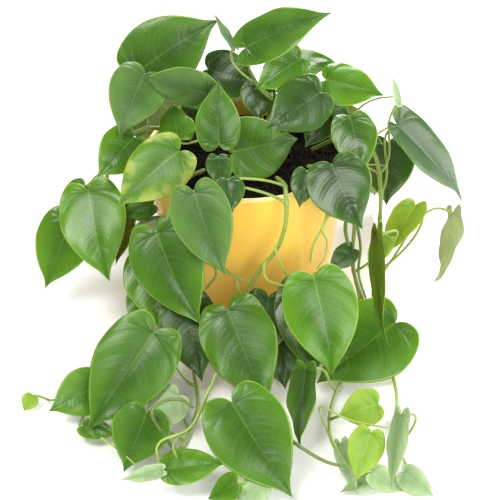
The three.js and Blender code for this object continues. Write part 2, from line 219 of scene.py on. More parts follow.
class ShaderEffects:
    """The shader groups that several finishes share, each built once."""

    def __init__(self) -> None:
        """Builds every group."""
        self.veins = self._vein_pattern()
        self.mottle = self._mottle()

    @staticmethod
    def _vein_pattern() -> bpy.types.NodeTree:
        """Builds the leaf pattern: midrib, side veins, fine veins and margin.

        Returns:
            The group. Share runs round the margin from the stalk to the tip, and Across from the
            midrib to the margin.
        """
        number = "NodeSocketFloat"
        group = new_group(
            "leaf_vein_pattern",
            {"Share": (number, 0.0), "Across": (number, 0.0), "Veins": (number, 6.0)},
            {"Midrib": number, "Veins": number, "Valley": number, "Fine": number, "Margin": number},
        )
        web = NodeWeb(group)
        share, across, veins = web.add("NodeGroupInput").outputs[:3]

        midrib_width = web.math("MULTIPLY_ADD", share, -0.030, 0.050)
        midrib = web.math("SUBTRACT", 1.0, web.ramp(web.math("DIVIDE", across, midrib_width), 0.3, 1.0))

        def comb(count: bpy.types.NodeSocket, width: float) -> bpy.types.NodeSocket:
            """Draws lines that run from the midrib to the margin.

            Args:
                count: Lines from the stalk to the tip.
                width: Half of a line's width, where 1 is the step between two lines.

            Returns:
                A mask that is 1 on the lines.
            """
            near = web.math("PINGPONG", web.math("MULTIPLY", share, count), 0.5)
            return web.math("SUBTRACT", 1.0, web.ramp(near, 0.0, width))

        fade = web.math("SUBTRACT", 1.0, web.ramp(across, 0.55, 0.97))
        side = web.math("MULTIPLY", comb(veins, 0.10), fade)
        # Wide bands over the side veins: painted shade in the leaf colour, and a dip in the bump.
        valley = web.math("MULTIPLY", comb(veins, 0.42), fade)
        fine = web.math("MULTIPLY", comb(web.math("MULTIPLY", veins, 5.0), 0.30), fade)
        margin = web.ramp(across, 0.925, 0.975)
        web.add(
            "NodeGroupOutput",
            {"Midrib": midrib, "Veins": side, "Valley": valley, "Fine": fine, "Margin": margin},
        )
        return group

    @staticmethod
    def _mottle() -> bpy.types.NodeTree:
        """Builds soft cloudy variation from 0 to 1.

        Returns:
            The group.
        """
        group = new_group(
            "soft_mottle",
            {
                "Vector": ("NodeSocketVector", None),
                "Scale": ("NodeSocketFloat", 40.0),
                "Detail": ("NodeSocketFloat", 3.0),
                "Contrast": ("NodeSocketFloat", 0.25),
            },
            {"Value": "NodeSocketFloat"},
        )
        web = NodeWeb(group)
        vector, scale, detail, contrast = web.add("NodeGroupInput").outputs[:4]
        noise = web.add("ShaderNodeTexNoise", {"Vector": vector, "Scale": scale, "Detail": detail})
        low = web.math("SUBTRACT", 0.5, contrast)
        high = web.math("ADD", 0.5, contrast)
        web.add("NodeGroupOutput", {"Value": web.ramp(noise.outputs[0], low, high)})
        return group

    def vein_marks(self, web: NodeWeb, links: dict) -> bpy.types.NodeOutputs:
        """Places the leaf pattern in a material.

        Args:
            web: The material's nodes.
            links: Socket name to a value or a socket.

        Returns:
            The pattern's masks, by name.
        """
        node = web.add("ShaderNodeGroup", node_tree=self.veins)
        return web.fill(node, links).outputs

    def clouds(
        self, web: NodeWeb, at: bpy.types.NodeSocket, scale: float, detail: float, contrast: float
    ) -> bpy.types.NodeSocket:
        """Places the soft variation in a material.

        Args:
            web: The material's nodes.
            at: The place on the object.
            scale: Patches for each metre.
            detail: How many finer layers are added.
            contrast: A smaller number gives harder patches.

        Returns:
            The variation, from 0 to 1.
        """
        node = web.add("ShaderNodeGroup", node_tree=self.mottle)
        links = {"Vector": at, "Scale": scale, "Detail": detail, "Contrast": contrast}
        return web.fill(node, links).outputs[0]


# ---------------------------------------------------------------------------
# Finishes
# ---------------------------------------------------------------------------


def new_material(name: str) -> tuple[bpy.types.Material, NodeWeb]:
    """Makes an empty node material.

    Args:
        name: The material's name.

    Returns:
        The material and its nodes.
    """
    material = bpy.data.materials.new(name)
    material.use_nodes = True
    return material, NodeWeb(material.node_tree)


@dataclass(frozen=True)
class LeafFinish:
    """The look of a leaf blade of one age.

    Attributes:
        name: The kind of leaf.
        body: The blade's own green, which shows most near the margin.
        deep: The darker green, for random darker tone and for painted shade along the midrib fold and in the
            valleys over the veins.
        rib: The midrib and the veins.
        margin: The thin pale line round the blade.
        under: The underside.
        roughness: How dull the upper side is.
        bleach: How strongly faded patches show.
        straw: The colour of faded patches.
    """

    name: str
    body: Colour
    deep: Colour
    rib: Colour
    margin: Colour
    under: Colour
    roughness: float = 0.31
    bleach: float = 0.0
    straw: Colour = srgb(214, 205, 96)

    def build(self, effects: ShaderEffects) -> bpy.types.Material:
        """Makes the material.

        Args:
            effects: The shared shader groups.

        Returns:
            The finished material.
        """
        material, web = new_material(f"leaf_{self.name}")
        uv = web.add("ShaderNodeUVMap", uv_map="blade").outputs[0]
        share, across, _ = web.add("ShaderNodeSeparateXYZ", {0: uv}).outputs
        place = web.add("ShaderNodeTexCoord").outputs["Object"]
        underside = web.add("ShaderNodeAttribute", attribute_name="underside").outputs["Fac"]
        tone = web.add("ShaderNodeAttribute", attribute_name="tone").outputs["Fac"]
        veins = effects.vein_marks(web, {"Share": share, "Across": across, "Veins": 6.0})
        cloud = effects.clouds(web, place, 34.0, 3.0, 0.22)
        speck = effects.clouds(web, place, 900.0, 2.0, 0.3)

        # Painted shade: the blade darkens towards the deep green near the midrib, where its halves fold;
        # cloud and tone add random darker tone.
        outer = web.ramp(across, 0.05, 0.9)
        shade = web.math("ADD", web.math("MULTIPLY", cloud, 0.4), web.math("MULTIPLY", tone, 0.2))
        shade = web.math("MULTIPLY_ADD", outer, 0.68, web.math("MULTIPLY", shade, 0.8), clamp=True)
        colour = web.mix(shade, self.deep, self.body)
        # Painted shade: the deep green darkens the valleys over the side veins, where the blade dips.
        colour = web.mix(web.math("MULTIPLY", veins["Valley"], 0.17), colour, self.deep)
        colour = web.mix(web.math("MULTIPLY", speck, 0.12), colour, self.rib)
        if self.bleach:
            patches = effects.clouds(web, place, 48.0, 4.0, 0.05)
            spots = web.math("MULTIPLY", patches, web.ramp(across, 0.25, 0.9))
            colour = web.mix(web.math("MULTIPLY", spots, self.bleach), colour, self.straw)
        marks = (("Veins", 0.05, self.rib), ("Fine", 0.04, self.rib), ("Midrib", 0.26, self.rib))
        for mark, strength, paint in (*marks, ("Margin", 0.75, self.margin)):
            colour = web.mix(web.math("MULTIPLY", veins[mark], strength), colour, paint)
        below = web.mix(web.math("MULTIPLY", veins["Veins"], 0.35), self.under, self.rib)
        colour = web.mix(underside, colour, below)

        gloss = web.math("MULTIPLY_ADD", cloud, 0.10, self.roughness - 0.05)
        gloss = web.math("MULTIPLY_ADD", underside, 0.22, gloss)
        height = web.math("MULTIPLY_ADD", veins["Fine"], -0.10, web.math("MULTIPLY", speck, 0.12))
        height = web.math("MULTIPLY_ADD", veins["Valley"], -0.6, height)
        normal = web.bump(height, 0.5, 0.0008)
        web.surface({"Base Color": colour, "Roughness": gloss, "Normal": normal, "IOR": 1.4})
        return material


class LeafTone(Enum):
    """The kinds of leaf on the plant, from the oldest to the newest. DARK is partly the darker green of old
    leaves and partly painted shade on leaves deep inside the plant; the grey cast of SILVERY is painted
    sheen.
    """

    # DARK: partly the darker green of old leaves, partly painted shade for leaves deep inside the plant.
    DARK = LeafFinish(
        "dark",
        srgb(52, 88, 22), srgb(24, 52, 12), srgb(98, 132, 52),
        srgb(124, 158, 60), srgb(102, 128, 62),
    )
    # SILVERY: a greyer green whose grey cast is painted sheen.
    SILVERY = LeafFinish(
        "silvery",
        srgb(78, 116, 40), srgb(42, 76, 26), srgb(120, 150, 84),
        srgb(140, 172, 84), srgb(122, 146, 90), roughness=0.42,
    )
    MATURE = LeafFinish(
        "mature",
        srgb(68, 112, 18), srgb(30, 66, 10), srgb(112, 150, 46),
        srgb(142, 180, 62), srgb(112, 140, 60),
    )
    BRIGHT = LeafFinish(
        "bright",
        srgb(80, 128, 14), srgb(40, 86, 8), srgb(130, 168, 44),
        srgb(160, 198, 66), srgb(122, 152, 60),
    )
    DAPPLED = LeafFinish(
        "dappled",
        srgb(78, 124, 14), srgb(42, 84, 8), srgb(132, 168, 50),
        srgb(172, 198, 72), srgb(126, 154, 64), roughness=0.4, bleach=0.294,
    )
    LIME = LeafFinish(
        "lime",
        srgb(136, 168, 46), srgb(100, 142, 28), srgb(178, 204, 64),
        srgb(192, 212, 84), srgb(156, 184, 60), roughness=0.44,
    )
    PALE = LeafFinish(
        "pale",
        srgb(156, 180, 128), srgb(108, 142, 84), srgb(188, 204, 164),
        srgb(188, 206, 140), srgb(158, 180, 128), roughness=0.46,
    )


@dataclass(frozen=True)
class StemFinish:
    """Smooth green bark that is paler where it is young, with brown flecks."""

    young: Colour = srgb(158, 184, 78)
    old: Colour = srgb(98, 128, 52)
    fleck: Colour = srgb(104, 84, 44)

    def build(self, effects: ShaderEffects) -> bpy.types.Material:
        """Makes the material.

        Args:
            effects: The shared shader groups.

        Returns:
            The finished material.
        """
        material, web = new_material("stem_skin")
        place = web.add("ShaderNodeTexCoord").outputs["Object"]
        age = web.add("ShaderNodeAttribute", attribute_name="age").outputs["Fac"]
        cloud = effects.clouds(web, place, 60.0, 3.0, 0.25)
        fleck = effects.clouds(web, place, 420.0, 2.0, 0.08)
        colour = web.mix(age, self.young, self.old)
        colour = web.mix(web.math("MULTIPLY", cloud, 0.3), colour, self.old)
        colour = web.mix(web.math("MULTIPLY", web.math("MULTIPLY", fleck, age), 0.35), colour, self.fleck)
        web.surface({"Base Color": colour, "Roughness": 0.42, "Normal": web.bump(fleck, 0.3, 0.0003)})
        return material


@dataclass(frozen=True)
class GlazeFinish:
    """Golden glaze with painted shade that darkens it towards the foot and a painted highlight that pales
    the rim.
    """

    golden: Colour = srgb(255, 206, 84)
    foot_shade_amber: Colour = srgb(236, 168, 44)
    # The pale colour of the painted rim highlight.
    lip: Colour = srgb(255, 226, 156)
    pot_height: float = 0.150

    def build(self, effects: ShaderEffects) -> bpy.types.Material:
        """Makes the material.

        Args:
            effects: The shared shader groups.

        Returns:
            The finished material.
        """
        material, web = new_material("pot_glaze")
        place = web.add("ShaderNodeTexCoord").outputs["Object"]
        height = web.add("ShaderNodeSeparateXYZ", {0: place}).outputs[2]
        cloud = effects.clouds(web, place, 14.0, 3.0, 0.25)
        grain = effects.clouds(web, place, 500.0, 2.0, 0.3)
        # Painted shade: the glaze darkens towards the foot, where the leaves shade the pot; the cloud adds
        # random mottle.
        low = web.math("SUBTRACT", 1.0, web.ramp(height, 0.0, self.pot_height * 0.75))
        low = web.math("MULTIPLY_ADD", cloud, 0.18, web.math("MULTIPLY", low, 0.7), clamp=True)
        colour = web.mix(low, self.golden, self.foot_shade_amber)
        # Painted highlight: a pale band along the rim.
        colour = web.mix(web.ramp(height, self.pot_height * 0.975, self.pot_height), colour, self.lip)
        rough = web.math("MULTIPLY_ADD", cloud, 0.12, 0.30)
        normal = web.bump(grain, 0.12, 0.0003)
        web.surface({"Base Color": colour, "Roughness": rough, "Normal": normal, "IOR": 1.5})
        return material


@dataclass(frozen=True)
class SoilFinish:
    """Damp black potting mix with brown fibres; part of its near-black is painted shade under the leaves."""

    # Near-black: partly the mix's own dark colour, partly painted shade under the leaves.
    black: Colour = srgb(9, 7, 6)
    brown: Colour = srgb(44, 30, 21)

    def build(self, effects: ShaderEffects) -> bpy.types.Material:
        """Makes the material.

        Args:
            effects: The shared shader groups.

        Returns:
            The finished material.
        """
        material, web = new_material("soil")
        place = web.add("ShaderNodeTexCoord").outputs["Object"]
        cloud = effects.clouds(web, place, 160.0, 5.0, 0.16)
        grit = effects.clouds(web, place, 900.0, 3.0, 0.2)
        mask = web.math("MULTIPLY", web.math("MULTIPLY", cloud, grit), 0.8)
        colour = web.mix(mask, self.black, self.brown)
        normal = web.bump(grit, 0.8, 0.0012)
        web.surface({"Base Color": colour, "Roughness": 0.95, "Normal": normal, "Specular IOR Level": 0.15})
        return material


# ---------------------------------------------------------------------------
# The plan of the plant, in millimetres
# ---------------------------------------------------------------------------


@dataclass(frozen=True)
class Leaf:
    """One leaf.

    Attributes:
        name: The leaf's own name, the same as its solid's where it has one.
        share: How far along its stem it grows, from 0 to 1.
        at: Where the blade meets its stalk.
        heading: Where the midrib points, in degrees round from the front towards +X.
        pitch: The midrib's angle above the horizon, in degrees.
        roll: The turn about the midrib, in degrees.
        length: From the stalk to the tip.
        tone: The blade's finish.
        wide: Width over the usual width.
        droop: How far the midrib arches over, in degrees.
        fold: How far each half rises from the midrib, in degrees.
        cup: How far each half rolls down towards its margin, in degrees.
        twist: Turn of the tip about the midrib, in degrees.
        bend: Sideways sweep of the tip, in degrees.
        hook: Extra curl of the last part of the tip, in degrees.
        wave: Height of the ripples at the margin, in millimetres.
        small: True for a leaf that shares its stem's solid.
    """

    name: str
    share: float
    at: Point
    heading: float
    pitch: float
    roll: float
    length: float
    tone: LeafTone = LeafTone.MATURE
    wide: float = 1.0
    droop: float = 10.0
    fold: float = 5.0
    cup: float = 18.0
    twist: float = 0.0
    bend: float = 0.0
    hook: float = 0.0
    wave: float = 0.6
    small: bool = False


@dataclass(frozen=True)
class Vine:
    """One stem and the leaves that grow from it.

    Attributes:
        name: The stem's name, the same as its solid's.
        route: The points that the stem passes through.
        leaves: The leaves, in the order in which they grow.
    """

    name: str
    route: tuple[Point, ...]
    leaves: tuple[Leaf, ...]


@dataclass(frozen=True)
class Shoot:
    """A bare side shoot of a vine.

    Attributes:
        radius: Half its thickness, in millimetres.
        age: 0 for fresh green and 1 for old and woody.
        route: The points that it passes through.
    """

    radius: float
    age: float
    route: tuple[Point, ...]


DARK, SILVERY, MATURE, BRIGHT, DAPPLED, LIME, PALE = LeafTone

PLANT: tuple[Vine, ...] = (
    Vine(
        "stem_crown_left",
        (
            (-26, 8, 144), (-30, 14, 162), (-36, 20, 180),
        ),
        (
            Leaf(
                "leaf_crown_left_top", 0.95, (-91, 32, 203), 99, 35, -65, 80, MATURE,
                wide=1.02, droop=14, fold=5, bend=-10, hook=-30,
            ),
            Leaf("leaf_crown_left_back", 1, (-33, 61, 190), 70, -10, -58, 49, DARK, wide=1.12, droop=12),
            Leaf("leaf_crown_left_low", 0.7, (-32, -16, 208), -100, 8, 98, 56, SILVERY, wide=0.95, droop=8),
            Leaf("leaf_crown_left_dark", 0.4, (-46, 14, 178), 9, -62, -12, 32, DARK, small=True),
        ),
    ),
    Vine(
        "stem_crown_right",
        (
            (14, 14, 145), (18, 19, 166), (20, 22, 184),
        ),
        (
            Leaf(
                "leaf_crown_top", 0.95, (-1, 18, 232), 88, 30, -23, 76, MATURE,
                wide=0.92, droop=14, fold=10,
            ),
            Leaf(
                "leaf_crown_right_back", 1, (21.2, 45, 195), 89, 24, -20, 57, BRIGHT,
                wide=1.0, droop=30, fold=6, hook=60,
            ),
            Leaf(
                "leaf_crown_right_young", 0.8, (42, 10, 225), -51, -14, 49, 46, BRIGHT,
                wide=0.95, droop=24, fold=12, hook=50,
            ),
            Leaf("leaf_crown_right_side", 0.7, (65, 14, 204), 74, -4, -27, 49, BRIGHT, wide=1.15, droop=14),
            Leaf(
                "leaf_cupped", 0.4, (58, -12, 206), -57, -19, 50, 54, DARK,
                wide=1.15, droop=20, cup=34, hook=-50,
            ),
            Leaf(
                "leaf_crown_right_low", 0.5, (63.6, 0.4, 178.6), -39, -35, 32, 32, DARK,
                small=True, wide=1.05,
            ),
            Leaf("leaf_crown_back_dark", 0.2, (9, 30, 192), -2, -44, 2, 32, DARK, small=True, wide=1.25),
            Leaf("leaf_crown_edge", 1, (-11, 36, 224), -130, 51, -27, 34, SILVERY, small=True, wide=0.8),
            Leaf("leaf_cupped_under", 0.35, (40, -4, 194), -44, -37, 27, 38, BRIGHT, small=True, wide=0.9),
            Leaf(
                "leaf_crown_right_small", 0.5, (61, 6, 187), 71, -25, -58, 29, BRIGHT,
                small=True, wide=1.15,
            ),
        ),
    ),
    Vine(
        "stem_crown_front",
        (
            (-8, -20, 145), (-12, -22, 155), (-16, -18, 166),
        ),
        (
            Leaf(
                "leaf_upright", 0.9, (-23, -44, 178), -174, 68, 0, 51, MATURE,
                wide=0.95, fold=4, droop=-10, bend=-6,
            ),
            Leaf("leaf_crinkled", 1, (-57, -14, 166), -169, 26, 9, 37, BRIGHT, wide=1.1, fold=4, wave=2.0),
            Leaf(
                "leaf_middle", 0.8, (-10, -42, 169), 121, -4, -50, 66, MATURE,
                wide=1.08, droop=16, fold=4,
            ),
            Leaf("leaf_middle_small", 0.3, (-23, -70, 180), 9, -28, 6, 28, DARK, small=True),
        ),
    ),
    Vine(
        "vine_left",
        (
            (-48, 22, 143), (-64, 17, 154), (-84, 12, 160), (-104, 5, 152), (-116, 0, 132),
            (-118, -6, 110), (-104, -20, 88), (-93, -34, 60), (-90, -60, 22), (-104, -92, 4),
            (-124, -126, 4), (-144, -150, 4), (-158, -158, 7),
        ),
        (
            Leaf(
                "leaf_crown_left_side", 0.12, (-84, 11, 211), -18, -19, 27, 59, SILVERY,
                wide=1.05, droop=45, fold=8, bend=14,
            ),
            Leaf(
                "leaf_left_rim", 0.22, (-93, -20, 169), -42, -24, 42, 45, BRIGHT,
                wide=1.15, droop=14, fold=8,
            ),
            Leaf("leaf_left_behind", 0.3, (-142, 26, 95), -52, -26, 28, 29, MATURE, small=True, wide=1.1),
            Leaf(
                "leaf_left_under_rim", 0.34, (-79, -36, 115), -71, -11, 65, 28, MATURE,
                small=True, wide=0.95,
            ),
            Leaf(
                "leaf_left_upper", 0.44, (-131, -35, 127), 13, -36, -15, 78, BRIGHT,
                wide=0.95, droop=20, fold=8, hook=-14, bend=8,
            ),
            Leaf("leaf_left_outer", 0.4, (-150, -12, 85), -39, -53, 29, 65, BRIGHT, droop=14),
            Leaf(
                "leaf_left_back", 0.42, (-106.3, -4, 101), -12, -46, -15, 50, BRIGHT,
                small=True, wide=0.85,
            ),
            Leaf(
                "leaf_left_inner", 0.44, (-99.6, -34, 112), -9, -57, 68, 50, MATURE,
                small=True, wide=0.95, droop=16,
            ),
            Leaf("leaf_inner_left", 0.6, (-85, -58, 44), -21, -42, 21, 35, BRIGHT, small=True, wide=1.1),
            Leaf("leaf_left_sliver", 0.4, (-74.1, -40, 101), -78, -12, 6, 27, PALE, small=True),
            Leaf("leaf_left_floor", 0.84, (-117, -166, 30), -61, -13, 47, 44, BRIGHT, wide=1.15, fold=6),
            Leaf("leaf_left_under", 0.8, (-127, -195, 12), 74, -3, -6, 29, BRIGHT, small=True, droop=4),
            Leaf("leaf_left_tip", 1, (-171, -160, 13), -36, -35, 35, 14, LIME, small=True, wide=1.3),
        ),
    ),
    Vine(
        "vine_front_left",
        (
            (-36, -28, 143), (-46, -54, 153), (-54, -72, 157), (-62, -86, 138), (-64, -88, 112),
            (-60, -88, 84), (-50, -96, 40), (-44, -122, 8), (-40, -160, 4), (-46, -196, 4),
            (-54, -220, 4), (-58, -244, 4),
        ),
        (
            Leaf("leaf_dappled", 0.1, (-55, -58, 178), -59, -26, 37, 65, DAPPLED, droop=14, fold=6, bend=8),
            Leaf(
                "leaf_glossy", 0.34, (-72, -94, 125), 30, -45, -32, 82, MATURE,
                wide=0.93, droop=20, fold=8, bend=12,
            ),
            Leaf("leaf_glossy_under", 0.38, (-79.6, -62, 81), 11, -38, -6, 64, BRIGHT, wide=1.05, droop=16),
            Leaf(
                "leaf_shaded", 0.55, (-50.8, -107.6, 68.6), 17, -41, -11, 67, DARK,
                small=True, wide=0.95, droop=14,
            ),
            Leaf(
                "leaf_big_left", 0.68, (-73, -155, 72), -43, -35, 29, 91, MATURE,
                wide=0.92, droop=14, fold=6,
            ),
            Leaf("leaf_floor_left", 0.88, (-77, -204, 33), -15, -12, 17, 54, MATURE, wide=1.08, droop=10),
            Leaf("leaf_floor_back", 0.84, (-54, -186, 35), -57, -33, 22, 36, PALE, small=True, wide=1.2),
            Leaf(
                "leaf_floor_flat", 0.9, (-59, -254, 22), 92, 7, -18, 44, BRIGHT,
                wide=0.95, fold=8, droop=6,
            ),
            Leaf(
                "leaf_floor_edge", 1, (-63, -262, 27), -78, -8, 87, 30, PALE,
                small=True, wide=0.7, droop=4,
            ),
        ),
    ),
    Vine(
        "vine_front",
        (
            (24, -40, 143), (29, -66, 153), (30, -88, 157), (30, -98, 138), (24, -98, 114),
            (10, -98, 92), (-2, -98, 64), (-4, -106, 30), (0, -130, 5), (4, -165, 4), (8, -200, 4),
            (14, -235, 4), (10, -262, 4),
        ),
        (
            Leaf("leaf_middle_low", 0.1, (-15, -92, 172), 8, -38, -7, 27, DARK, small=True, wide=1.2),
            Leaf(
                "leaf_silvery", 0.16, (-41, -100, 166), 26, -48, -31, 69, SILVERY,
                wide=0.92, droop=20, fold=10, bend=6,
            ),
            Leaf(
                "leaf_lower_middle", 0.42, (-15, -126, 72), 25, -36, -20, 84, MATURE,
                wide=0.94, droop=16, hook=20, bend=10, wave=1.6,
            ),
            Leaf("leaf_inner_dark", 0.5, (17, -100, 66), -10, -44, 7, 54, DARK, small=True, wide=1.05),
            Leaf("leaf_inner_low", 0.6, (24, -112.8, 32), 13, -41, -11, 40, DARK, small=True, wide=1.0),
            Leaf(
                "leaf_biggest", 0.76, (-11, -224, 59), 38, -33, -18, 82, MATURE,
                wide=1.02, droop=8, fold=8, bend=6,
            ),
            Leaf("leaf_front_low", 0.96, (-8, -272, 24), -94, -38, 36, 29, BRIGHT, small=True),
            Leaf("leaf_front_tip", 1, (10.4, -266, 20), -40, -26, 30, 30, PALE, small=True),
        ),
    ),
    Vine(
        "vine_right",
        (
            (50, -22, 143), (64, -38, 153), (76, -50, 158), (86, -54, 140), (88, -50, 108),
            (88, -50, 66), (96, -56, 24), (92, -84, 5), (80, -120, 4), (68, -156, 4), (64, -192, 4),
            (70, -222, 4), (78, -244, 4),
        ),
        (
            Leaf(
                "leaf_round_right", 0.12, (66, -79, 178), 24, -34, -25, 56, DARK,
                wide=1.2, droop=16, cup=14, bend=10,
            ),
            Leaf("leaf_shadow_right", 0.16, (46, -76, 170), -15, -42, 11, 29, DARK, small=True, wide=1.0),
            Leaf("leaf_tiny_right", 0.36, (86, -64, 89), -54, -22, 41, 27, DARK, small=True, wide=0.95),
            Leaf("leaf_lime_behind", 0.38, (112, -80, 111), -47, -39, 23, 29, LIME, small=True, wide=0.85),
            Leaf(
                "leaf_bright", 0.46, (52, -132, 106), 20, -49, -16, 78, BRIGHT,
                droop=18, fold=6, hook=20, bend=-8,
            ),
            Leaf("leaf_under_bright", 0.5, (46, -98, 76), 7, -42, -8, 76, DARK, wide=0.92, droop=12),
            Leaf(
                "leaf_narrow", 0.72, (45, -180, 55), -13, -47, -50, 60, MATURE,
                wide=0.9, fold=12, wave=1.0,
            ),
            Leaf("leaf_lime_small", 0.82, (99.2, -196, 35), -76, -11, 57, 32, LIME, small=True, wide=1.25),
            Leaf("leaf_lime_heart", 0.92, (90, -246, 49), -24, -47, 23, 37, LIME),
            Leaf("leaf_lime_thin", 0.95, (70, -239.6, 33), 19, -46, -75, 39, PALE, small=True),
            Leaf("leaf_sliver_low", 0.97, (96, -250, 10), -71, -9, -13, 30, PALE, small=True),
            Leaf("leaf_right_floor", 1, (92, -262, 24), 70, -20, -26, 27, PALE, small=True),
        ),
    ),
    Vine(
        "vine_far_right",
        (
            (54, 6, 143), (72, 3, 154), (89, 0, 160), (106, -6, 144), (112, -10, 110), (112, -14, 68),
            (108, -36, 24), (112, -76, 5), (118, -114, 4), (120, -152, 4), (114, -194, 4),
            (120, -228, 4), (124, -250, 4),
        ),
        (
            Leaf(
                "leaf_twisted", 0.08, (83, -24, 189), 12, -28, -7, 50, MATURE,
                wide=0.98, droop=30, twist=24,
            ),
            Leaf(
                "leaf_long_right", 0.24, (124, 0, 169), 77, -42, -3, 87, DARK,
                droop=8, fold=16, bend=-10, hook=10,
            ),
            Leaf("leaf_right_sliver", 0.2, (124, -2, 191), -160, 57, -46, 25, PALE, small=True, wide=0.9),
            Leaf("leaf_right_back", 0.3, (121, 37, 131), -4, -43, -2, 54, DARK, wide=1.15, droop=14),
            Leaf(
                "leaf_lime_folded", 0.42, (139, -31, 110), -39, -30, -17, 48, LIME,
                wide=1.0, fold=16, droop=12,
            ),
            Leaf(
                "leaf_edge_on", 0.44, (175, -3, 85), -12, -51, 115, 64, PALE,
                wide=0.9, fold=8, cup=6, hook=60, wave=1.4,
            ),
            Leaf(
                "leaf_hanging", 0.4, (103, -97, 124), -2, -50, -70, 89, MATURE,
                wide=0.45, fold=12, droop=8, hook=30, bend=8,
            ),
            Leaf(
                "leaf_big_right", 0.6, (121, -95, 37), -55, -17, 29, 83, BRIGHT,
                wide=1.12, droop=10, fold=4,
            ),
            Leaf("leaf_silver_edge", 0.9, (112, -246, 66), -19, -48, -55, 53, PALE, wide=0.85, fold=6),
            Leaf("leaf_right_end", 1, (115, -262, 24), 71, -31, -29, 29, PALE, small=True),
        ),
    ),
    Vine(
        "vine_back_left",
        (
            (-28, 36, 143), (-44, 60, 153), (-54, 76, 158), (-62, 88, 136), (-62, 94, 90),
            (-62, 100, 40), (-68, 120, 6), (-80, 148, 4), (-88, 172, 4),
        ),
        (
            Leaf("leaf_back_left_crown", 0.1, (-44, 66, 176), -150, -20, 0, 70, MATURE, droop=22),
            Leaf("leaf_back_left_rim", 0.3, (-78, 84, 148), -150, -50, 0, 74, MATURE, droop=20),
            Leaf("leaf_back_left_mid", 0.5, (-44, 116, 108), 172, -52, 0, 80, MATURE, droop=18),
            Leaf("leaf_back_left_side", 0.42, (-87.6, 82, 114), -140, -56, 0, 44, MATURE, small=True),
            Leaf("leaf_back_left_low", 0.66, (-86, 112, 62), -140, -40, 0, 70, MATURE, droop=14),
            Leaf("leaf_back_left_floor", 0.9, (-66, 160, 38), 168, -24, 0, 60, MATURE, small=True),
            Leaf("leaf_back_left_tip", 1, (-96, 172, 20), -160, -14, 0, 36, MATURE, small=True),
        ),
    ),
    Vine(
        "vine_back_right",
        (
            (32, 34, 143), (48, 58, 153), (58, 74, 158), (66, 86, 136), (66, 92, 90), (66, 100, 40),
            (72, 118, 6), (84, 146, 4), (88, 170, 4),
        ),
        (
            Leaf("leaf_back_right_crown", 0.1, (36, 66, 178), 156, -20, 0, 72, MATURE, droop=22),
            Leaf("leaf_back_middle", 0.2, (-4, 88, 160), 178, -44, 0, 74, MATURE, droop=20),
            Leaf("leaf_back_right_rim", 0.3, (82, 80, 146), 146, -50, 0, 72, MATURE, droop=20),
            Leaf("leaf_back_right_mid", 0.5, (46, 114, 106), -174, -52, 0, 78, MATURE, droop=18),
            Leaf("leaf_back_right_side", 0.42, (92, 80.4, 102), 132, -54, 0, 58, MATURE, small=True),
            Leaf("leaf_back_right_low", 0.66, (90, 108, 60), 138, -38, 0, 70, MATURE, droop=14),
            Leaf("leaf_back_right_floor", 0.9, (66, 158, 36), -168, -24, 0, 58, MATURE, small=True),
            Leaf("leaf_back_right_tip", 1, (98, 170, 20), 150, -14, 0, 36, MATURE, small=True),
        ),
    ),
)

# Bare side shoots and old leafless stems, by vine.
SHOOTS: dict[str, tuple[Shoot, ...]] = {
    "vine_front": (
        Shoot(1.0, 0.15, ((22, -104, 118), (27, -110, 104), (37, -112, 89))),
        Shoot(1.2, 0.05, ((13, -108, 103), (16, -112, 92), (34, -112, 85))),
        Shoot(1.0, 0.3, ((-34, -92, 96), (-17, -100, 94), (-8, -108, 86), (-6, -112, 73))),
    ),
    "vine_front_left": (
        Shoot(1.3, 0.8, ((-41, -88, 103), (-30, -92, 98), (-25, -98, 88), (-34, -104, 77))),
        Shoot(1.2, 0.9, ((-58, -74, 145), (-63, -80, 134), (-72, -86, 121))),
        Shoot(1.5, 1.0, ((-72, -214, 38), (-65, -206, 45), (-51, -206, 48), (-40, -214, 46))),
        Shoot(1.0, 0.0, ((-66, -252, 30), (-64, -246, 41), (-42, -236, 47), (-28, -206, 61))),
        Shoot(1.2, 0.5, ((-24, -196, 65), (-38, -226, 45), (-54, -246, 41), (-52, -256, 34))),
    ),
    "vine_left": (
        Shoot(0.8, 0.1, ((-110, -226, 27), (-95, -238, 24), (-81, -250, 19))),
    ),
    "vine_right": (
        Shoot(0.9, 0.1, ((55, -206, 40), (77, -222, 41), (105, -232, 42))),
        Shoot(0.9, 0.2, ((64, -236, 32), (73, -250, 24), (83, -264, 21))),
        Shoot(1.6, 1.0, ((24, -222, 30), (42, -242, 30), (58, -250, 25), (73, -256, 25))),
        Shoot(1.2, 0.1, ((66, -80, 140), (60, -88, 128), (52, -93, 112), (50, -96, 98))),
        Shoot(0.9, 0.0, ((60, -88, 130), (63, -92, 116), (62, -95, 104), (55, -99, 94))),
        Shoot(1.7, 0.9, ((84, -52, 128), (80, -58, 106), (85, -62, 84), (90, -64, 60), (98, -66, 36))),
        Shoot(1.3, 0.8, ((90, -50, 104), (94, -48, 80), (93, -54, 58), (100, -58, 34))),
    ),
    "vine_far_right": (
        Shoot(1.0, 0.1, ((99, 16, 143), (111, 14, 155), (121, 10, 165))),
        Shoot(1.1, 0.4, ((97, 30, 150), (105, 24, 152), (114, 18, 141))),
        Shoot(0.9, 0.2, ((101, 12, 124), (118, 8, 126))),
        Shoot(1.0, 0.2, ((84, 30, 156), (96, 22, 176), (108, 16, 186), (121, 10, 191))),
    ),
}


# ---------------------------------------------------------------------------
# Geometry
# ---------------------------------------------------------------------------


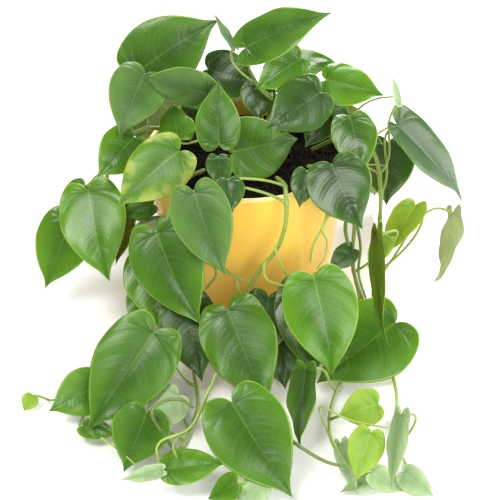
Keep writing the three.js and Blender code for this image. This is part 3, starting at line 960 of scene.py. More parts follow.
@dataclass
class Shell:
    """A mesh in the making: corners, faces and what each face carries.

    Attributes:
        points: Corner positions in metres.
        faces: The corners of each face, as numbers of points.
        uv: For each face corner, in order, its blade coordinates.
        underside: For each face, 1 if it faces down from the blade.
        tone: The leaf's own shade from 0 to 1.
    """

    points: np.ndarray
    faces: list[tuple[int, ...]]
    uv: np.ndarray
    underside: np.ndarray
    tone: float

    def to_mesh(self, name: str) -> bpy.types.Mesh:
        """Makes a mesh from the shell.

        Args:
            name: The mesh's name.

        Returns:
            The mesh, smooth shaded.
        """
        mesh = bpy.data.meshes.new(name)
        mesh.from_pydata(self.points.tolist(), [], self.faces)
        layer = mesh.uv_layers.new(name="blade")
        layer.data.foreach_set("uv", self.uv.astype(np.float32).ravel())
        shades = np.full(len(self.faces), self.tone)
        for label, values in (("underside", self.underside), ("tone", shades)):
            attribute = mesh.attributes.new(label, "FLOAT", "FACE")
            attribute.data.foreach_set("value", values.astype(np.float32))
        smooth(mesh)
        mesh.update()
        return mesh


def smooth(mesh: bpy.types.Mesh) -> None:
    """Shades every face of a mesh smooth."""
    mesh.polygons.foreach_set("use_smooth", [True] * len(mesh.polygons))


def cubic(a: np.ndarray, b: np.ndarray, c: np.ndarray, d: np.ndarray, t: np.ndarray) -> np.ndarray:
    """Finds points on a cubic curve.

    Args:
        a: Where it starts.
        b: The corner that it leaves towards.
        c: The corner that it arrives from.
        d: Where it ends.
        t: Places on it, from 0 to 1.

    Returns:
        One point for each place.
    """
    s = 1 - t
    return s**3 * a + 3 * s * s * t * b + 3 * s * t * t * c + t**3 * d


@dataclass(frozen=True)
class LeafShape:
    """Builds heart-shaped blades with a drip tip.

    Attributes:
        rows: Ribs from the stalk round one margin to the tip.
        columns: Steps along each rib from the midrib to the margin.
        short_leaf: The length of the longest leaf with fewer ribs.
        short_grid: The rows and columns of such a leaf.
        thickness: The blade's thickness at the midrib, in millimetres.
        veins: Side veins of each half.
        quilt: How far the blade swells between two veins, in millimetres.
        swell: Height of the blade's broad, soft waves, in millimetres.
        full_relief: Shorter leaves than this have less relief.
        hook_from: Where along the blade a hooked tip starts to curl.
        on_midrib: Points nearer the midrib than this stand upright on it, so that both halves meet.
        outline: Half the outline at unit length, as cubic curves from the stalk to the tip.
        stops: How far round the half outline each curve ends.
        width: The outline's whole width at unit length.
    """

    rows: int = 84
    columns: int = 14
    short_leaf: float = 40.0
    short_grid: tuple[int, int] = (56, 10)
    thickness: float = 0.5
    veins: float = 6.0
    quilt: float = 0.24
    swell: float = 0.9
    full_relief: float = 60.0
    hook_from: float = 0.72
    on_midrib: float = 1e-6
    outline: tuple = (
        ((0, 0), (0.02, -0.09), (0.09, -0.135), (0.18, -0.13)),
        ((0.18, -0.13), (0.27, -0.12), (0.38, 0.06), (0.38, 0.27)),
        ((0.38, 0.27), (0.38, 0.48), (0.24, 0.68), (0.09, 0.84)),
        ((0.09, 0.84), (0.05, 0.885), (0.02, 0.95), (0, 1)),
    )
    stops: tuple = (0.0, 0.125, 0.5, 0.875, 1.0)
    width: float = 0.76

    def margin(self, share: np.ndarray) -> np.ndarray:
        """Finds points on the half outline.

        Args:
            share: Places from 0 at the stalk to 1 at the tip.

        Returns:
            One point for each place.
        """
        points = np.zeros((len(share), 2))
        for number, corners in enumerate(self.outline):
            start, end = self.stops[number], self.stops[number + 1]
            inside = (share >= start) & (share <= end)
            t = ((share[inside] - start) / (end - start))[:, None]
            points[inside] = cubic(*(np.array(corner) for corner in corners), t)
        return points

    def flat(self, share: np.ndarray, along: np.ndarray) -> tuple[np.ndarray, np.ndarray]:
        """Lays out the ribs of the flat blade of unit length.

        Args:
            share: Where each rib ends on the margin.
            along: Places along every rib from 0 at the midrib to 1 at the margin.

        Returns:
            The distances across and along the blade, one row for each rib.
        """
        edge = self.margin(share)[:, None, :]
        start_y = np.clip((edge[..., 1] - 0.3) / 0.7, 0, None) ** 1.35
        bend_x = edge[..., 0] * 0.74
        bend_y = start_y + (edge[..., 1] - start_y) * 0.24
        t = along[None, :]
        s = 1 - t
        across = 2 * s * t * bend_x + t * t * edge[..., 0]
        down = s * s * start_y + 2 * s * t * bend_y + t * t * edge[..., 1]
        return across, down

    def place(
        self, leaf: Leaf, across: np.ndarray, down: np.ndarray, lift: np.ndarray, side: int
    ) -> np.ndarray:
        """Carries points of the flat blade onto the arched, folded and twisted one.

        Args:
            leaf: The leaf's plan.
            across: Distance from the midrib at unit length.
            down: Distance from the stalk at unit length.
            lift: Height above the blade's middle surface in millimetres.
            side: -1 or 1 for the half.

        Returns:
            Points in millimetres, in the blade's own frame.
        """
        length = leaf.length
        arch = math.radians(leaf.droop) / length
        y = down * length
        hook_from = self.hook_from * length
        past = np.clip(y - hook_from, 0, None)
        hook = math.radians(leaf.hook) / (length - hook_from) ** 2
        angle = arch * y + hook * past**2
        steps = np.linspace(-0.2 * length, 1.02 * length, 320)
        step_past = np.clip(steps - hook_from, 0, None)
        step_angle = arch * steps + hook * step_past**2
        sway = math.radians(leaf.bend) * np.clip(steps / length, 0, None) ** 2
        gap = steps[1] - steps[0]

        def travel(rate: np.ndarray) -> np.ndarray:
            """Sums a rate along the midrib, counted from the stalk.

            Args:
                rate: The rate at each of the midrib's steps.

            Returns:
                The sum at each point of the blade.
            """
            total = np.concatenate([[0], np.cumsum((rate[1:] + rate[:-1]) / 2 * gap)])
            return np.interp(y, steps, total - np.interp(0, steps, total))

        mid_x = travel(np.sin(sway) * np.cos(step_angle))
        mid_y = travel(-np.cos(step_angle) * np.cos(sway))
        mid_z = travel(-np.sin(step_angle))
        swing = math.radians(leaf.bend) * np.clip(y / length, 0, None) ** 2

        x = across * leaf.wide * length
        half = self.width / 2 * leaf.wide * length
        curl = math.radians(leaf.cup) / half
        rise = math.radians(leaf.fold)
        lean = rise - curl * x
        out = (math.sin(rise) - np.sin(lean)) / curl
        high = (np.cos(lean) - math.cos(rise)) / curl
        lean = np.where(x < self.on_midrib, 0.0, lean)
        right = side * (out - lift * np.sin(lean))
        raised = high + lift * np.cos(lean)

        turn = math.radians(leaf.twist) * np.clip(down, 0, None)
        flat_x = right * np.cos(turn) - raised * np.sin(turn)
        up = raised * np.cos(turn) + right * np.sin(turn)
        px = mid_x + flat_x * np.cos(swing)
        py = mid_y - up * np.sin(angle) + flat_x * np.sin(swing)
        pz = mid_z + up * np.cos(angle)
        return np.stack([px, py, pz], axis=-1)

    def relief(self, leaf: Leaf, share: np.ndarray, along: np.ndarray, side: int) -> np.ndarray:
        """Swells the blade between its veins and ripples its margin.

        Args:
            leaf: The leaf's plan.
            share: Where each rib ends on the margin.
            along: Places along every rib.
            side: -1 or 1 for the half.

        Returns:
            Heights in millimetres, one row for each rib.
        """
        seed = sum(map(ord, leaf.name)) % 97
        phase = share * self.veins
        between = np.abs(np.sin(math.pi * phase))[:, None] ** 0.7
        belly = (np.sin(math.pi * np.clip(along, 0, 1)) ** 0.8)[None, :]
        near_ends = np.clip(share / 0.10, 0, 1) * np.clip((1 - share) / 0.14, 0, 1)
        size = min(1.0, leaf.length / self.full_relief)
        quilted = self.quilt * size * between * belly * near_ends[:, None]
        ripple = np.sin(share * 15 + seed * 1.7 + side) + 0.6 * np.sin(share * 27 + seed * 2.3 - side)
        edge = (np.clip(along, 0, 1) ** 2.6)[None, :] * near_ends[:, None]
        broad = np.sin(share[:, None] * 7.5 + along[None, :] * 2.4 + seed * 1.3 + side * 0.9)
        broad = self.swell * size * broad * belly * near_ends[:, None]
        return quilted + broad + leaf.wave * size * ripple[:, None] * edge

    def build(self, leaf: Leaf) -> Shell:
        """Builds a leaf in place.

        Args:
            leaf: The leaf's plan.

        Returns:
            The closed blade.
        """
        coarse = leaf.length <= self.short_leaf
        rows, columns = self.short_grid if coarse else (self.rows, self.columns)
        share = np.linspace(0, 1, rows + 1)
        share = share - 0.045 * np.sin(2 * math.pi * share)
        along = np.linspace(0, 1, columns + 1) ** 0.9
        across, down = self.flat(share, along)
        taper = (1 - np.clip(along, 0, 1)[None, :] ** 3) * np.ones((rows + 1, 1))
        taper[:, -1] = 0.0
        points, uvs, faces, below = [], [], [], []
        grid = np.arange((rows + 1) * (columns + 1)).reshape(rows + 1, columns + 1)
        for side in (-1, 1):
            relief = self.relief(leaf, share, along, side)
            for skin in (1, -1):
                lift = relief + skin * self.thickness / 2 * taper
                offset = len(points) * grid.size
                points.append(self.place(leaf, across, down, lift, side).reshape(-1, 3))
                pair = np.stack(np.broadcast_arrays(share[:, None], along[None, :]), axis=-1)
                uvs.append(pair.reshape(-1, 2))
                a, b = grid[:-1, :-1] + offset, grid[1:, :-1] + offset
                c, d = grid[1:, 1:] + offset, grid[:-1, 1:] + offset
                order = (a, b, c, d) if side * skin > 0 else (a, d, c, b)
                faces.append(np.stack(order, axis=-1).reshape(-1, 4))
                below.append(np.full(rows * columns, skin < 0))
        turn = placement(leaf)
        where = (np.concatenate(points) @ turn.T + np.array(leaf.at)) * MM
        tone = sum(map(ord, leaf.name)) % 89 / 89
        return weld(where, np.concatenate(faces), np.concatenate(uvs), np.concatenate(below), tone)


def placement(leaf: Leaf) -> np.ndarray:
    """Works out the turn that carries a blade from its own frame into the plant's.

    Args:
        leaf: The leaf's plan.

    Returns:
        The turn, as a 3 by 3 matrix.
    """
    pitch, roll, heading = (math.radians(angle) for angle in (-leaf.pitch, leaf.roll, leaf.heading))
    about_x = [[1, 0, 0], [0, math.cos(pitch), -math.sin(pitch)], [0, math.sin(pitch), math.cos(pitch)]]
    about_y = [[math.cos(roll), 0, math.sin(roll)], [0, 1, 0], [-math.sin(roll), 0, math.cos(roll)]]
    about_z = [
        [math.cos(heading), -math.sin(heading), 0],
        [math.sin(heading), math.cos(heading), 0],
        [0, 0, 1],
    ]
    return np.array(about_z) @ np.array(about_x) @ np.array(about_y)


def weld(points: np.ndarray, faces: np.ndarray, uv: np.ndarray, below: np.ndarray, tone: float) -> Shell:
    """Joins corners that share a place and drops the faces that this empties.

    Args:
        points: Corner positions in metres.
        faces: Four corners for each face.
        uv: Blade coordinates for each corner.
        below: Whether each face looks down.
        tone: The leaf's own shade.

    Returns:
        The welded shell.
    """
    keys = np.round(points / WELD_REACH).astype(np.int64)
    _, first, inverse = np.unique(keys, axis=0, return_index=True, return_inverse=True)
    inverse = inverse.ravel()
    kept_faces, kept_uv, kept_below = [], [], []
    for face, down in zip(faces, below):
        corners, pairs = [], []
        for corner in face:
            merged = int(inverse[corner])
            if merged not in corners:
                corners.append(merged)
                pairs.append(uv[corner])
        if len(corners) > 2:
            kept_faces.append(tuple(corners))
            kept_uv.extend(pairs)
            kept_below.append(down)
    return Shell(points[first], kept_faces, np.array(kept_uv), np.array(kept_below, float), tone)


def spline(route: np.ndarray, spacing: float) -> np.ndarray:
    """Draws a smooth curve through points.

    Args:
        route: The points, in millimetres.
        spacing: Distance between the curve's own points.

    Returns:
        Evenly spaced points on the curve.
    """
    ends = np.vstack([2 * route[0] - route[1], route, 2 * route[-1] - route[-2]])
    dense = []
    t = np.linspace(0, 1, 24, endpoint=False)[:, None]
    for a, b, c, d in zip(ends[:-3], ends[1:-2], ends[2:-1], ends[3:]):
        dense.append(
            0.5 * (2 * b + (c - a) * t + (2 * a - 5 * b + 4 * c - d) * t**2 + (3 * b - a - 3 * c + d) * t**3)
        )
    line = np.vstack([*dense, route[-1:]])
    return resample(line, spacing)


def resample(line: np.ndarray, spacing: float) -> np.ndarray:
    """Spaces points evenly along a line of straight pieces.

    Args:
        line: The line's points.
        spacing: Distance between the new points.

    Returns:
        The new points.
    """
    run = np.concatenate([[0], np.cumsum(np.linalg.norm(np.diff(line, axis=0), axis=1))])
    places = np.linspace(0, run[-1], max(3, round(run[-1] / spacing) + 1))
    return np.stack([np.interp(places, run, line[:, axis]) for axis in range(3)], axis=1)


def bell(place: np.ndarray, centre: float, width: float) -> np.ndarray:
    """Draws a smooth bump of height 1.

    Args:
        place: Where to find its height.
        centre: Where it peaks.
        width: How far from the peak it has fallen to about a third.

    Returns:
        The height at each place.
    """
    return np.exp(-(((place - centre) / width) ** 2))


@dataclass
class Strand:
    """A round cord that follows a line.

    Attributes:
        line: The points that it follows, in millimetres.
        radius: Half its thickness at each point.
        age: 0 for fresh green and 1 for old and woody, at each point.
    """

    line: np.ndarray
    radius: np.ndarray
    age: np.ndarray


class StrandTree:
    """The Geometry Nodes tree that turns lines with a radius into round, closed cords."""

    def __init__(self, flat_sides: int = 10) -> None:
        """Builds the tree.

        Args:
            flat_sides: Flat sides round each cord.
        """
        self.flat_sides = flat_sides
        tree = bpy.data.node_groups.new("cords_along_lines", "GeometryNodeTree")
        tree.interface.new_socket("Lines", in_out="INPUT", socket_type="NodeSocketGeometry")
        sides = tree.interface.new_socket("Sides", in_out="INPUT", socket_type="NodeSocketInt")
        finish = tree.interface.new_socket("Finish", in_out="INPUT", socket_type="NodeSocketMaterial")
        tree.interface.new_socket("Cords", in_out="OUTPUT", socket_type="NodeSocketGeometry")
        web = NodeWeb(tree)
        given = web.add("NodeGroupInput")
        curve = web.add("GeometryNodeMeshToCurve", {"Mesh": given.outputs["Lines"]})
        radius = web.add("GeometryNodeInputNamedAttribute", {"Name": "radius_here"}, data_type="FLOAT")
        sized = web.add(
            "GeometryNodeSetCurveRadius", {"Curve": curve.outputs[0], "Radius": radius.outputs[0]}
        )
        ring = web.add(
            "GeometryNodeCurvePrimitiveCircle", {"Resolution": given.outputs["Sides"], "Radius": 1.0}
        )
        links = {"Curve": sized.outputs[0], "Profile Curve": ring.outputs[0], "Fill Caps": True}
        cord = web.add("GeometryNodeCurveToMesh", links)
        scale = next((socket for socket in cord.inputs if socket.name == "Scale"), None)
        if scale is not None:
            tree.links.new(radius.outputs[0], scale)
        real = web.add("GeometryNodeRealizeInstances", {"Geometry": cord.outputs[0]})
        dressed = web.add(
            "GeometryNodeSetMaterial", {"Geometry": real.outputs[0], "Material": given.outputs["Finish"]}
        )
        web.add("NodeGroupOutput", {"Cords": dressed.outputs[0]})
        self.tree = tree
        self.sides = sides.identifier
        self.finish = finish.identifier

    def build(self, name: str, strands: list[Strand], finish: bpy.types.Material) -> bpy.types.Mesh:
        """Makes the cords.

        Args:
            name: The mesh's name.
            strands: The lines to follow, in millimetres.
            finish: Their material.

        Returns:
            One plain mesh with all the cords.
        """
        points = np.concatenate([strand.line for strand in strands]) * MM
        edges, start = [], 0
        for strand in strands:
            count = len(strand.line)
            edges.extend((start + i, start + i + 1) for i in range(count - 1))
            start += count
        mesh = bpy.data.meshes.new(name + "_lines")
        mesh.from_pydata(points.tolist(), edges, [])
        for label, values in (
            ("radius_here", np.concatenate([strand.radius for strand in strands]) * MM),
            ("age", np.concatenate([strand.age for strand in strands])),
        ):
            attribute = mesh.attributes.new(label, "FLOAT", "POINT")
            attribute.data.foreach_set("value", values.astype(np.float32))
        return run_tree(name, mesh, self.tree, {self.sides: self.flat_sides, self.finish: finish})


class CrumbTree:
    """The Geometry Nodes tree that scatters small rough crumbs over a surface."""

    def __init__(self) -> None:
        """Builds the tree, with a named input for each of its sizes."""
        tree = bpy.data.node_groups.new("crumbs_on_surface", "GeometryNodeTree")
        tree.interface.new_socket("Surface", in_out="INPUT", socket_type="NodeSocketGeometry")
        density = tree.interface.new_socket("Density", in_out="INPUT", socket_type="NodeSocketFloat")
        size = tree.interface.new_socket("Size", in_out="INPUT", socket_type="NodeSocketFloat")
        seed = tree.interface.new_socket("Seed", in_out="INPUT", socket_type="NodeSocketInt")
        finish = tree.interface.new_socket("Finish", in_out="INPUT", socket_type="NodeSocketMaterial")
        tree.interface.new_socket("Crumbs", in_out="OUTPUT", socket_type="NodeSocketGeometry")
        web = NodeWeb(tree)
        given = web.add("NodeGroupInput").outputs
        spots = web.add(
            "GeometryNodeDistributePointsOnFaces",
            {"Mesh": given["Surface"], "Density": given["Density"], "Seed": given["Seed"]},
        )
        crumb = web.add("GeometryNodeMeshIcoSphere", {"Radius": given["Size"], "Subdivisions": 1})
        flattest, longest, any_turn = (0.35, 0.35, 0.3), (1.3, 1.3, 0.8), (6.28, 6.28, 6.28)
        spread = {0: flattest, 1: longest, "Seed": given["Seed"]}
        stretch = web.add("FunctionNodeRandomValue", spread, data_type="FLOAT_VECTOR")
        turns = {0: (0.0, 0.0, 0.0), 1: any_turn}
        turn = web.add("FunctionNodeRandomValue", turns, data_type="FLOAT_VECTOR")
        placed = web.add(
            "GeometryNodeInstanceOnPoints",
            {
                "Points": spots.outputs[0],
                "Instance": crumb.outputs[0],
                "Scale": stretch.outputs[0],
                "Rotation": turn.outputs[0],
            },
        )
        real = web.add("GeometryNodeRealizeInstances", {"Geometry": placed.outputs[0]})
        dressing = {"Geometry": real.outputs[0], "Material": given["Finish"]}
        dressed = web.add("GeometryNodeSetMaterial", dressing)
        web.add("NodeGroupOutput", {"Crumbs": dressed.outputs[0]})
        self.tree = tree
        self.density, self.size = density.identifier, size.identifier
        self.seed, self.finish = seed.identifier, finish.identifier


def run_tree(
    name: str, mesh: bpy.types.Mesh, tree: bpy.types.NodeTree, values: dict[str, object]
) -> bpy.types.Mesh:
    """Runs a Geometry Nodes tree on a mesh and keeps the result as a plain mesh.

    Args:
        name: The result's name.
        mesh: What goes in.
        tree: The tree to run.
        values: Input identifier to value.

    Returns:
        The plain mesh.
    """
    holder = bpy.data.objects.new(name + "_holder", mesh)
    bpy.context.scene.collection.objects.link(holder)
    modifier = holder.modifiers.new("nodes", "NODES")
    modifier.node_group = tree
    for identifier, value in values.items():
        modifier[identifier] = value
    graph = bpy.context.evaluated_depsgraph_get()
    result = bpy.data.meshes.new_from_object(holder.evaluated_get(graph), depsgraph=graph)
    result.name = name
    holder.modifiers.clear()
    bpy.data.objects.remove(holder)
    return result


def add_piece(name: str, mesh: bpy.types.Mesh, node: str) -> bpy.types.Object:
    """Puts a finished mesh into the scene in place of a solid.

    Args:
        name: The piece's name.
        mesh: Its mesh, in place.
        node: The solid that it stands for.

    Returns:
        The piece.
    """
    piece = bpy.data.objects.new(name, mesh)
    bpy.context.scene.collection.objects.link(piece)
    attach(piece, BODY)
    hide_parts(node)
    log.info("%s: %d faces", name, len(mesh.polygons))
    return piece


def joined(name: str, meshes: list[bpy.types.Mesh]) -> bpy.types.Mesh:
    """Joins meshes into one, keeping their materials and attributes.

    Args:
        name: The joined mesh's name.
        meshes: The meshes to join.

    Returns:
        The joined mesh.
    """
    objects = [bpy.data.objects.new(f"{name}_part", mesh) for mesh in meshes]
    for item in objects:
        bpy.context.scene.collection.objects.link(item)
    with bpy.context.temp_override(
        active_object=objects[0],
        object=objects[0],
        selected_objects=objects,
        selected_editable_objects=objects,
    ):
        bpy.ops.object.join()
    whole = objects[0].data
    bpy.data.objects.remove(objects[0])
    whole.name = name
    return whole


# ---------------------------------------------------------------------------
# The plant
# ---------------------------------------------------------------------------


@dataclass
class Foliage:
    """Every vine with its stalks and leaves.

    Attributes:
        plan: The vines.
        shape: How blades are built.
        stem_radius: Half the thickness of a vine, in millimetres.
        stalk_radius: Half the thickness of a leaf stalk.
        stalk_gap: How far short of its blade's middle surface a stalk ends.
        spacing: Distance between the points of a stem or a shoot.
        stalk_spacing: Distance between the points of a stalk.
        points_between_knots: How many points of a shoot lie between two of its knots.
        shoot_reach: How near a side shoot must start to join its stem.
        cords: The tree that turns lines into cords.
        finishes: The material of each kind of leaf.
        bark: The material of stems.
    """

    plan: tuple[Vine, ...]
    shape: LeafShape
    cords: StrandTree
    finishes: dict[LeafTone, bpy.types.Material]
    bark: bpy.types.Material
    stem_radius: float = 1.9
    stalk_radius: float = 1.05
    stalk_gap: float = 0.15
    spacing: float = 2.0
    stalk_spacing: float = 2.5
    points_between_knots: int = 16
    shoot_reach: float = 45.0

    def stalk(self, line: np.ndarray, leaf: Leaf) -> Strand:
        """Draws a leaf's stalk.

        Args:
            line: The stem's own points.
            leaf: The leaf at its end.

        Returns:
            The stalk, swollen a little at both ends.
        """
        start = line[min(len(line) - 1, round(leaf.share * (len(line) - 1)))]
        arrival = placement(leaf) @ (np.array([0, -0.45, 0.9]) / math.hypot(0.45, 0.9))
        end = np.array(leaf.at) - arrival * self.stalk_gap
        reach = np.linalg.norm(end - start) * 0.4
        leave = (end - start) * np.array([1, 1, 0])
        leave = leave / max(1e-6, np.linalg.norm(leave)) + np.array([0, 0, 0.8])
        t = np.linspace(0, 1, 30)[:, None]
        corners = (start, start + leave * reach * 0.8, end - arrival * reach, end)
        path = resample(cubic(*corners, t), self.stalk_spacing)
        place = np.linspace(0, 1, len(path))
        swollen = 1 + 0.35 * bell(place, 0.0, 0.12) + 0.2 * bell(place, 1.0, 0.08)
        return Strand(path, self.stalk_radius * swollen, 0.25 + 0.2 * bell(place, 0.0, 0.3))

    def stem(self, vine: Vine) -> Strand:
        """Draws a vine's stem, with a swollen ring where each leaf grows.

        Args:
            vine: The vine's plan.

        Returns:
            The stem.
        """
        line = spline(np.array(vine.route, float), self.spacing)
        place = np.linspace(0, 1, len(line))
        radius = self.stem_radius * (1 - 0.4 * place)
        ring_width = 2.6 / (len(line) * self.spacing)
        for leaf in vine.leaves:
            radius = radius * (1 + 0.28 * bell(place, leaf.share, ring_width))
        radius[-3:] *= np.array([0.9, 0.7, 0.45])
        return Strand(line, radius, 0.5 - 0.4 * place)

    def shoot(self, stem: np.ndarray, shoot: Shoot) -> Strand:
        """Draws a bare side shoot.

        Args:
            stem: The points of the stem that it grows from.
            shoot: Its plan.

        Returns:
            The shoot, thinner towards its end and joined to the stem where it is near enough.
        """
        route = np.array(shoot.route, float)
        gaps = np.linalg.norm(stem - route[0], axis=1)
        if gaps.min() < self.shoot_reach:
            route = np.vstack([stem[gaps.argmin()], route])
        line = spline(route, self.spacing)
        place = np.linspace(0, 1, len(line))
        radius = shoot.radius * (1 - 0.25 * place)
        knot_width = 2.2 / (len(line) * self.spacing)
        for knot in np.linspace(0, 1, max(2, round(len(line) / self.points_between_knots))):
            radius = radius * (1 + 0.22 * bell(place, knot, knot_width))
        radius[-2:] *= np.array([0.8, 0.5])
        return Strand(line, radius, np.full(len(line), shoot.age))

    def build(self) -> None:
        """Builds every vine and leaf as pieces of their own."""
        for vine in self.plan:
            stem = self.stem(vine)
            strands = [stem, *(self.stalk(stem.line, leaf) for leaf in vine.leaves)]
            strands += [self.shoot(stem.line, shoot) for shoot in SHOOTS.get(vine.name, ())]
            meshes = [self.cords.build(vine.name, strands, self.bark)]
            smooth(meshes[0])
            for leaf in vine.leaves:
                mesh = self.shape.build(leaf).to_mesh(leaf.name)
                mesh.materials.append(self.finishes[leaf.tone])
                if leaf.small:
                    meshes.append(mesh)
                else:
                    add_piece(f"look_{leaf.name}", mesh, leaf.name)
            add_piece(f"look_{vine.name}", joined(vine.name, meshes), vine.name)


# ---------------------------------------------------------------------------
# The pot and its soil
# ---------------------------------------------------------------------------


def revolve(
    profile: list[tuple[float, float]],
    segments: int,
    ripple: Callable[[float, float], float] = lambda angle, height: 0.0,
) -> bpy.types.Mesh:
    """Turns a profile round the Z axis into a closed mesh.

    Args:
        profile: Radius and height in millimetres, from the axis below to the axis above.
        segments: Steps round the axis.
        ripple: Adds to a radius, from its angle and height.

    Returns:
        The mesh.
    """
    shape = bmesh.new()
    rings = []
    for radius, height in profile:
        if radius < 1e-6:
            rings.append([shape.verts.new((0, 0, height * MM))])
            continue
        ring = []
        for step in range(segments):
            angle = 2 * math.pi * step / segments
            wide = (radius + ripple(angle, height)) * MM
            ring.append(shape.verts.new((wide * math.cos(angle), wide * math.sin(angle), height * MM)))
        rings.append(ring)
    for low, high in zip(rings[:-1], rings[1:]):
        for step in range(segments):
            turned = (step + 1) % segments
            below = (low[step % len(low)], low[turned % len(low)])
            above = (high[turned % len(high)], high[step % len(high)])
            unique = list(dict.fromkeys((*below, *above)))
            if len(unique) > 2:
                shape.faces.new(unique)
    bmesh.ops.recalc_face_normals(shape, faces=shape.faces)
    mesh = bpy.data.meshes.new("revolved")
    shape.to_mesh(mesh)
    shape.free()
    smooth(mesh)
    return mesh


@dataclass
class Pot:
    """A tapered pot with a softly uneven wall.

    Attributes:
        height: Foot to rim, in millimetres.
        rim_radius: Outer radius at the rim.
        foot_radius: Outer radius at the foot.
        wall: Thickness of the wall.
        floor: Thickness of the floor.
        flare: How the wall curves outwards: 1 is straight, and less swells it.
        foot_rounding: Width and height of the rounding at the foot.
        segments: Steps round the pot.
        creases: Angle round the pot, slant, width and depth of each soft crease in the wall.
    """

    height: float = 150.0
    rim_radius: float = 85.0
    foot_radius: float = 62.0
    wall: float = 4.0
    floor: float = 7.0
    flare: float = 0.7
    foot_rounding: tuple[float, float] = (4.0, 3.5)
    segments: int = 320
    creases: tuple[tuple[float, float, float, float], ...] = (
        (5.02, 0.55, 0.045, -1.1),
        (5.2, 0.5, 0.05, 0.8),
        (5.36, -0.35, 0.05, -1.2),
        (5.5, 0.4, 0.06, 0.9),
        (4.5, 0.3, 0.07, 0.4),
    )

    def radius(self, height: float) -> float:
        """Returns the outer radius at a height."""
        rise = max(0.0, height) / self.height
        return self.foot_radius + (self.rim_radius - self.foot_radius) * rise**self.flare

    def profile(self) -> list[tuple[float, float]]:
        """Draws the wall from the middle of the foot over the rim to the middle of the floor.

        Returns:
            Radius and height for each point.
        """
        line = [(0.0, 0.0), (30.0, 0.0), (self.foot_radius - 4.5, 0.0)]
        wide, high = self.foot_rounding
        for turn in np.linspace(0, math.pi / 2, 7)[1:]:
            line.append((self.radius(3.0) - wide + wide * math.sin(turn), high - high * math.cos(turn)))
        lip = self.wall / 2
        top = self.height - lip
        line += [(self.radius(h), h) for h in np.linspace(6, top, 46)]
        centre = self.radius(top) - lip
        for turn in np.linspace(0, math.pi, 9)[1:-1]:
            line.append((centre + lip * math.cos(turn), top + lip * math.sin(turn)))
        line += [(self.radius(h) - self.wall, h) for h in np.linspace(top, self.floor + 3, 30)]
        line += [(self.radius(self.floor) - self.wall - 3, self.floor), (0.0, self.floor)]
        return line

    def build(self, finish: bpy.types.Material) -> None:
        """Builds the pot.

        Args:
            finish: Its glaze.
        """

        def ripple(angle: float, height: float) -> float:
            """Works out the unevenness of the wall.

            Args:
                angle: The angle round the pot.
                height: The height above the foot, in millimetres.

            Returns:
                What it adds to the radius.
            """
            share = height / self.height
            soft = 0.35 * math.sin(2 * angle + 0.6) + 0.22 * math.sin(5 * angle + 4 * share)
            dents = sum(
                depth * math.exp(-(((angle - centre - slant * (share - 0.6)) / width) ** 2))
                for centre, slant, width, depth in self.creases
            )
            return share * (soft + 0.12 * math.sin(9 * angle - 3 * share) + dents)

        mesh = revolve(self.profile(), self.segments, ripple)
        mesh.materials.append(finish)
        add_piece("look_pot", mesh, "pot")


@dataclass
class Soil:
    """A mound of potting mix with crumbs on it.

    Attributes:
        pot: The pot that holds it.
        edge_height: Height of its edge above the pot's foot, in millimetres.
        crown_height: Height of its middle.
        gap: Its distance from the pot.
        crumbs: Crumbs for each square metre.
        crumb_size: Half a crumb's length.
        lumps: Share of the height, turns across, turns deep and shift of each layer of lumps,
            with turns in radians for each metre.
        lump_height: Height of a lump of the first layer.
        seed: Where the crumbs' random places start.
    """

    pot: Pot
    edge_height: float = 136.0
    crown_height: float = 142.0
    gap: float = 0.5
    crumbs: float = 90000.0
    crumb_size: float = 1.5
    lumps: tuple[tuple[float, float, float, float], ...] = (
        (1.0, 410, 370, 0),
        (0.6, 990, 1040, 1),
        (0.4, 2100, 1900, 0),
    )
    lump_height: float = 0.7
    seed: int = 4

    def scatter(self, mesh: bpy.types.Mesh, tree: CrumbTree, finish: bpy.types.Material) -> bpy.types.Mesh:
        """Scatters crumbs over the top of the soil.

        Args:
            mesh: The soil.
            tree: The tree that scatters them.
            finish: Their material.

        Returns:
            The crumbs.
        """
        top = bmesh.new()
        top.from_mesh(mesh)
        low = [f for f in top.faces if f.calc_center_median().z < (self.edge_height + 0.1) * MM]
        bmesh.ops.delete(top, geom=low, context="FACES")
        surface = bpy.data.meshes.new("soil_top")
        top.to_mesh(surface)
        top.free()
        values = {
            tree.density: self.crumbs,
            tree.size: self.crumb_size * MM,
            tree.seed: self.seed,
            tree.finish: finish,
        }
        return run_tree("soil_crumbs", surface, tree.tree, values)

    def build(self, finish: bpy.types.Material, tree: CrumbTree) -> None:
        """Builds the soil.

        Args:
            finish: Its material.
            tree: The tree that scatters crumbs.
        """
        gap = self.pot.wall + self.gap
        base = self.pot.floor + self.gap
        line = [(0.0, base), (self.pot.radius(base) - gap - 3, base)]
        line += [(self.pot.radius(h) - gap, h) for h in np.linspace(base + 3, self.edge_height, 20)]
        edge = line[-1][0]
        rise = self.crown_height - self.edge_height
        for share in np.linspace(0.98, 0.0, 34):
            line.append((edge * share, self.edge_height + rise * (1 - share**2)))
        mesh = revolve(line, 110)
        coordinates = np.zeros(len(mesh.vertices) * 3)
        mesh.vertices.foreach_get("co", coordinates)
        points = coordinates.reshape(-1, 3)
        top = points[:, 2] > (self.edge_height + 0.2) * MM
        x, y = points[top, 0], points[top, 1]
        for height, across, deep, shift in self.lumps:
            bumps = height * np.sin(x * across + shift) * np.sin(y * deep)
            points[top, 2] += bumps * self.lump_height * MM
        mesh.vertices.foreach_set("co", points.ravel())
        mesh.materials.append(finish)
        crumbs = self.scatter(mesh, tree, finish)
        add_piece("look_soil", joined("soil_look", [mesh, crumbs]), "soil")


# ---------------------------------------------------------------------------
# The studio
# ---------------------------------------------------------------------------


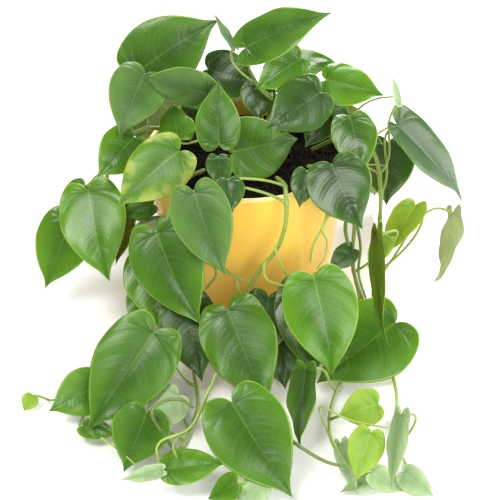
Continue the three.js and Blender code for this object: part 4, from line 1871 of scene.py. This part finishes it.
@dataclass(frozen=True)
class Studio:
    """The pale floor, the soft lights and the camera.

    Attributes:
        elevation: The camera's angle above the horizon, in degrees.
        distance: From the camera to what it aims at, in metres.
        aim: What the camera aims at.
        lens: The camera's focal length, in millimetres.
        ambient: Strength of the light from all round.
        lamps: Name, place, side in metres, power in watts and colour of each soft light.
        lit_at: What the soft lights face.
        floor_white: The floor's colour.
        floor_side: The floor's side, in metres.
    """

    elevation: float = 34.0
    distance: float = 1.3
    aim: Point = (0.002, 0.0, 0.0454)
    lens: float = 107.3
    ambient: float = 0.36
    lamps: tuple[tuple[str, Point, float, float, Colour], ...] = (
        ("front", (0.55, -1.3, 0.7), 0.7, 13.5, (1.0, 1.0, 1.0)),
        ("key", (-0.55, -0.75, 1.4), 0.55, 19.0, (1.0, 0.99, 0.97)),
        ("fill", (1.3, 0.35, 0.6), 0.9, 16.0, (0.98, 0.99, 1.0)),
        ("back", (0.15, 1.1, 1.2), 0.6, 24.0, (1.0, 1.0, 1.0)),
    )
    lit_at: Point = (0.0, 0.0, 0.08)
    floor_white: Colour = (0.9, 0.9, 0.9)
    floor_side: float = 12.0

    def soft_light(self, name: str, at: Point, size: float, watts: float, colour: Colour) -> None:
        """Adds a square soft light that faces the plant.

        Args:
            name: The light's name.
            at: Where it stands.
            size: Its side in metres.
            watts: Its power.
            colour: Its colour.
        """
        data = bpy.data.lights.new(name, "AREA")
        data.size = size
        data.energy = watts
        data.color = colour
        light = bpy.data.objects.new(name, data)
        light.location = at
        light.rotation_euler = (Vector(self.lit_at) - Vector(at)).to_track_quat("-Z", "Y").to_euler()
        bpy.context.scene.collection.objects.link(light)

    def floor(self) -> None:
        """Adds the pale floor."""
        data = bpy.data.meshes.new("floor")
        side = self.floor_side / 2
        corners = [(-side, -side, 0), (side, -side, 0), (side, side, 0), (-side, side, 0)]
        data.from_pydata(corners, [], [(0, 1, 2, 3)])
        material, web = new_material("floor_white")
        web.surface({"Base Color": (*self.floor_white, 1.0), "Roughness": 0.8})
        data.materials.append(material)
        piece = bpy.data.objects.new("floor", data)
        bpy.context.scene.collection.objects.link(piece)

    def sky(self) -> None:
        """Adds the light from all round, which the camera sees as plain white."""
        world = bpy.data.worlds.new("studio")
        bpy.context.scene.world = world
        world.use_nodes = True
        web = NodeWeb(world.node_tree)
        seen = web.add("ShaderNodeLightPath").outputs["Is Camera Ray"]
        strength = web.math("MULTIPLY_ADD", seen, 1.0 - self.ambient, self.ambient)
        sky = web.add("ShaderNodeBackground", {"Color": (1.0, 1.0, 1.0, 1.0), "Strength": strength})
        web.add("ShaderNodeOutputWorld", {"Surface": sky.outputs[0]})

    def camera(self) -> None:
        """Adds the camera, in front of the plant and looking down at it."""
        data = bpy.data.cameras.new("camera")
        data.lens = self.lens
        data.sensor_width = 36.0
        data.clip_end = 50.0
        camera = bpy.data.objects.new("camera", data)
        tilt = math.radians(self.elevation)
        offset = Vector((0.0, -math.cos(tilt), math.sin(tilt))) * self.distance
        camera.location = Vector(self.aim) + offset
        camera.rotation_euler = (-offset).to_track_quat("-Z", "Y").to_euler()
        bpy.context.scene.collection.objects.link(camera)
        bpy.context.scene.camera = camera
        bpy.context.scene.view_settings.view_transform = "Standard"

    def build(self) -> None:
        """Sets up the floor, the lights, the world and the camera."""
        self.floor()
        for lamp in self.lamps:
            self.soft_light(*lamp)
        self.sky()
        self.camera()


def main() -> None:
    """Builds the plant, its pot and the studio."""
    effects = ShaderEffects()
    finishes = {tone: tone.value.build(effects) for tone in LeafTone}
    pot = Pot()
    pot.build(GlazeFinish().build(effects))
    Soil(pot).build(SoilFinish().build(effects), CrumbTree())
    Foliage(PLANT, LeafShape(), StrandTree(), finishes, StemFinish().build(effects)).build()
    Studio().build()


if __name__ == "__main__":
    main()
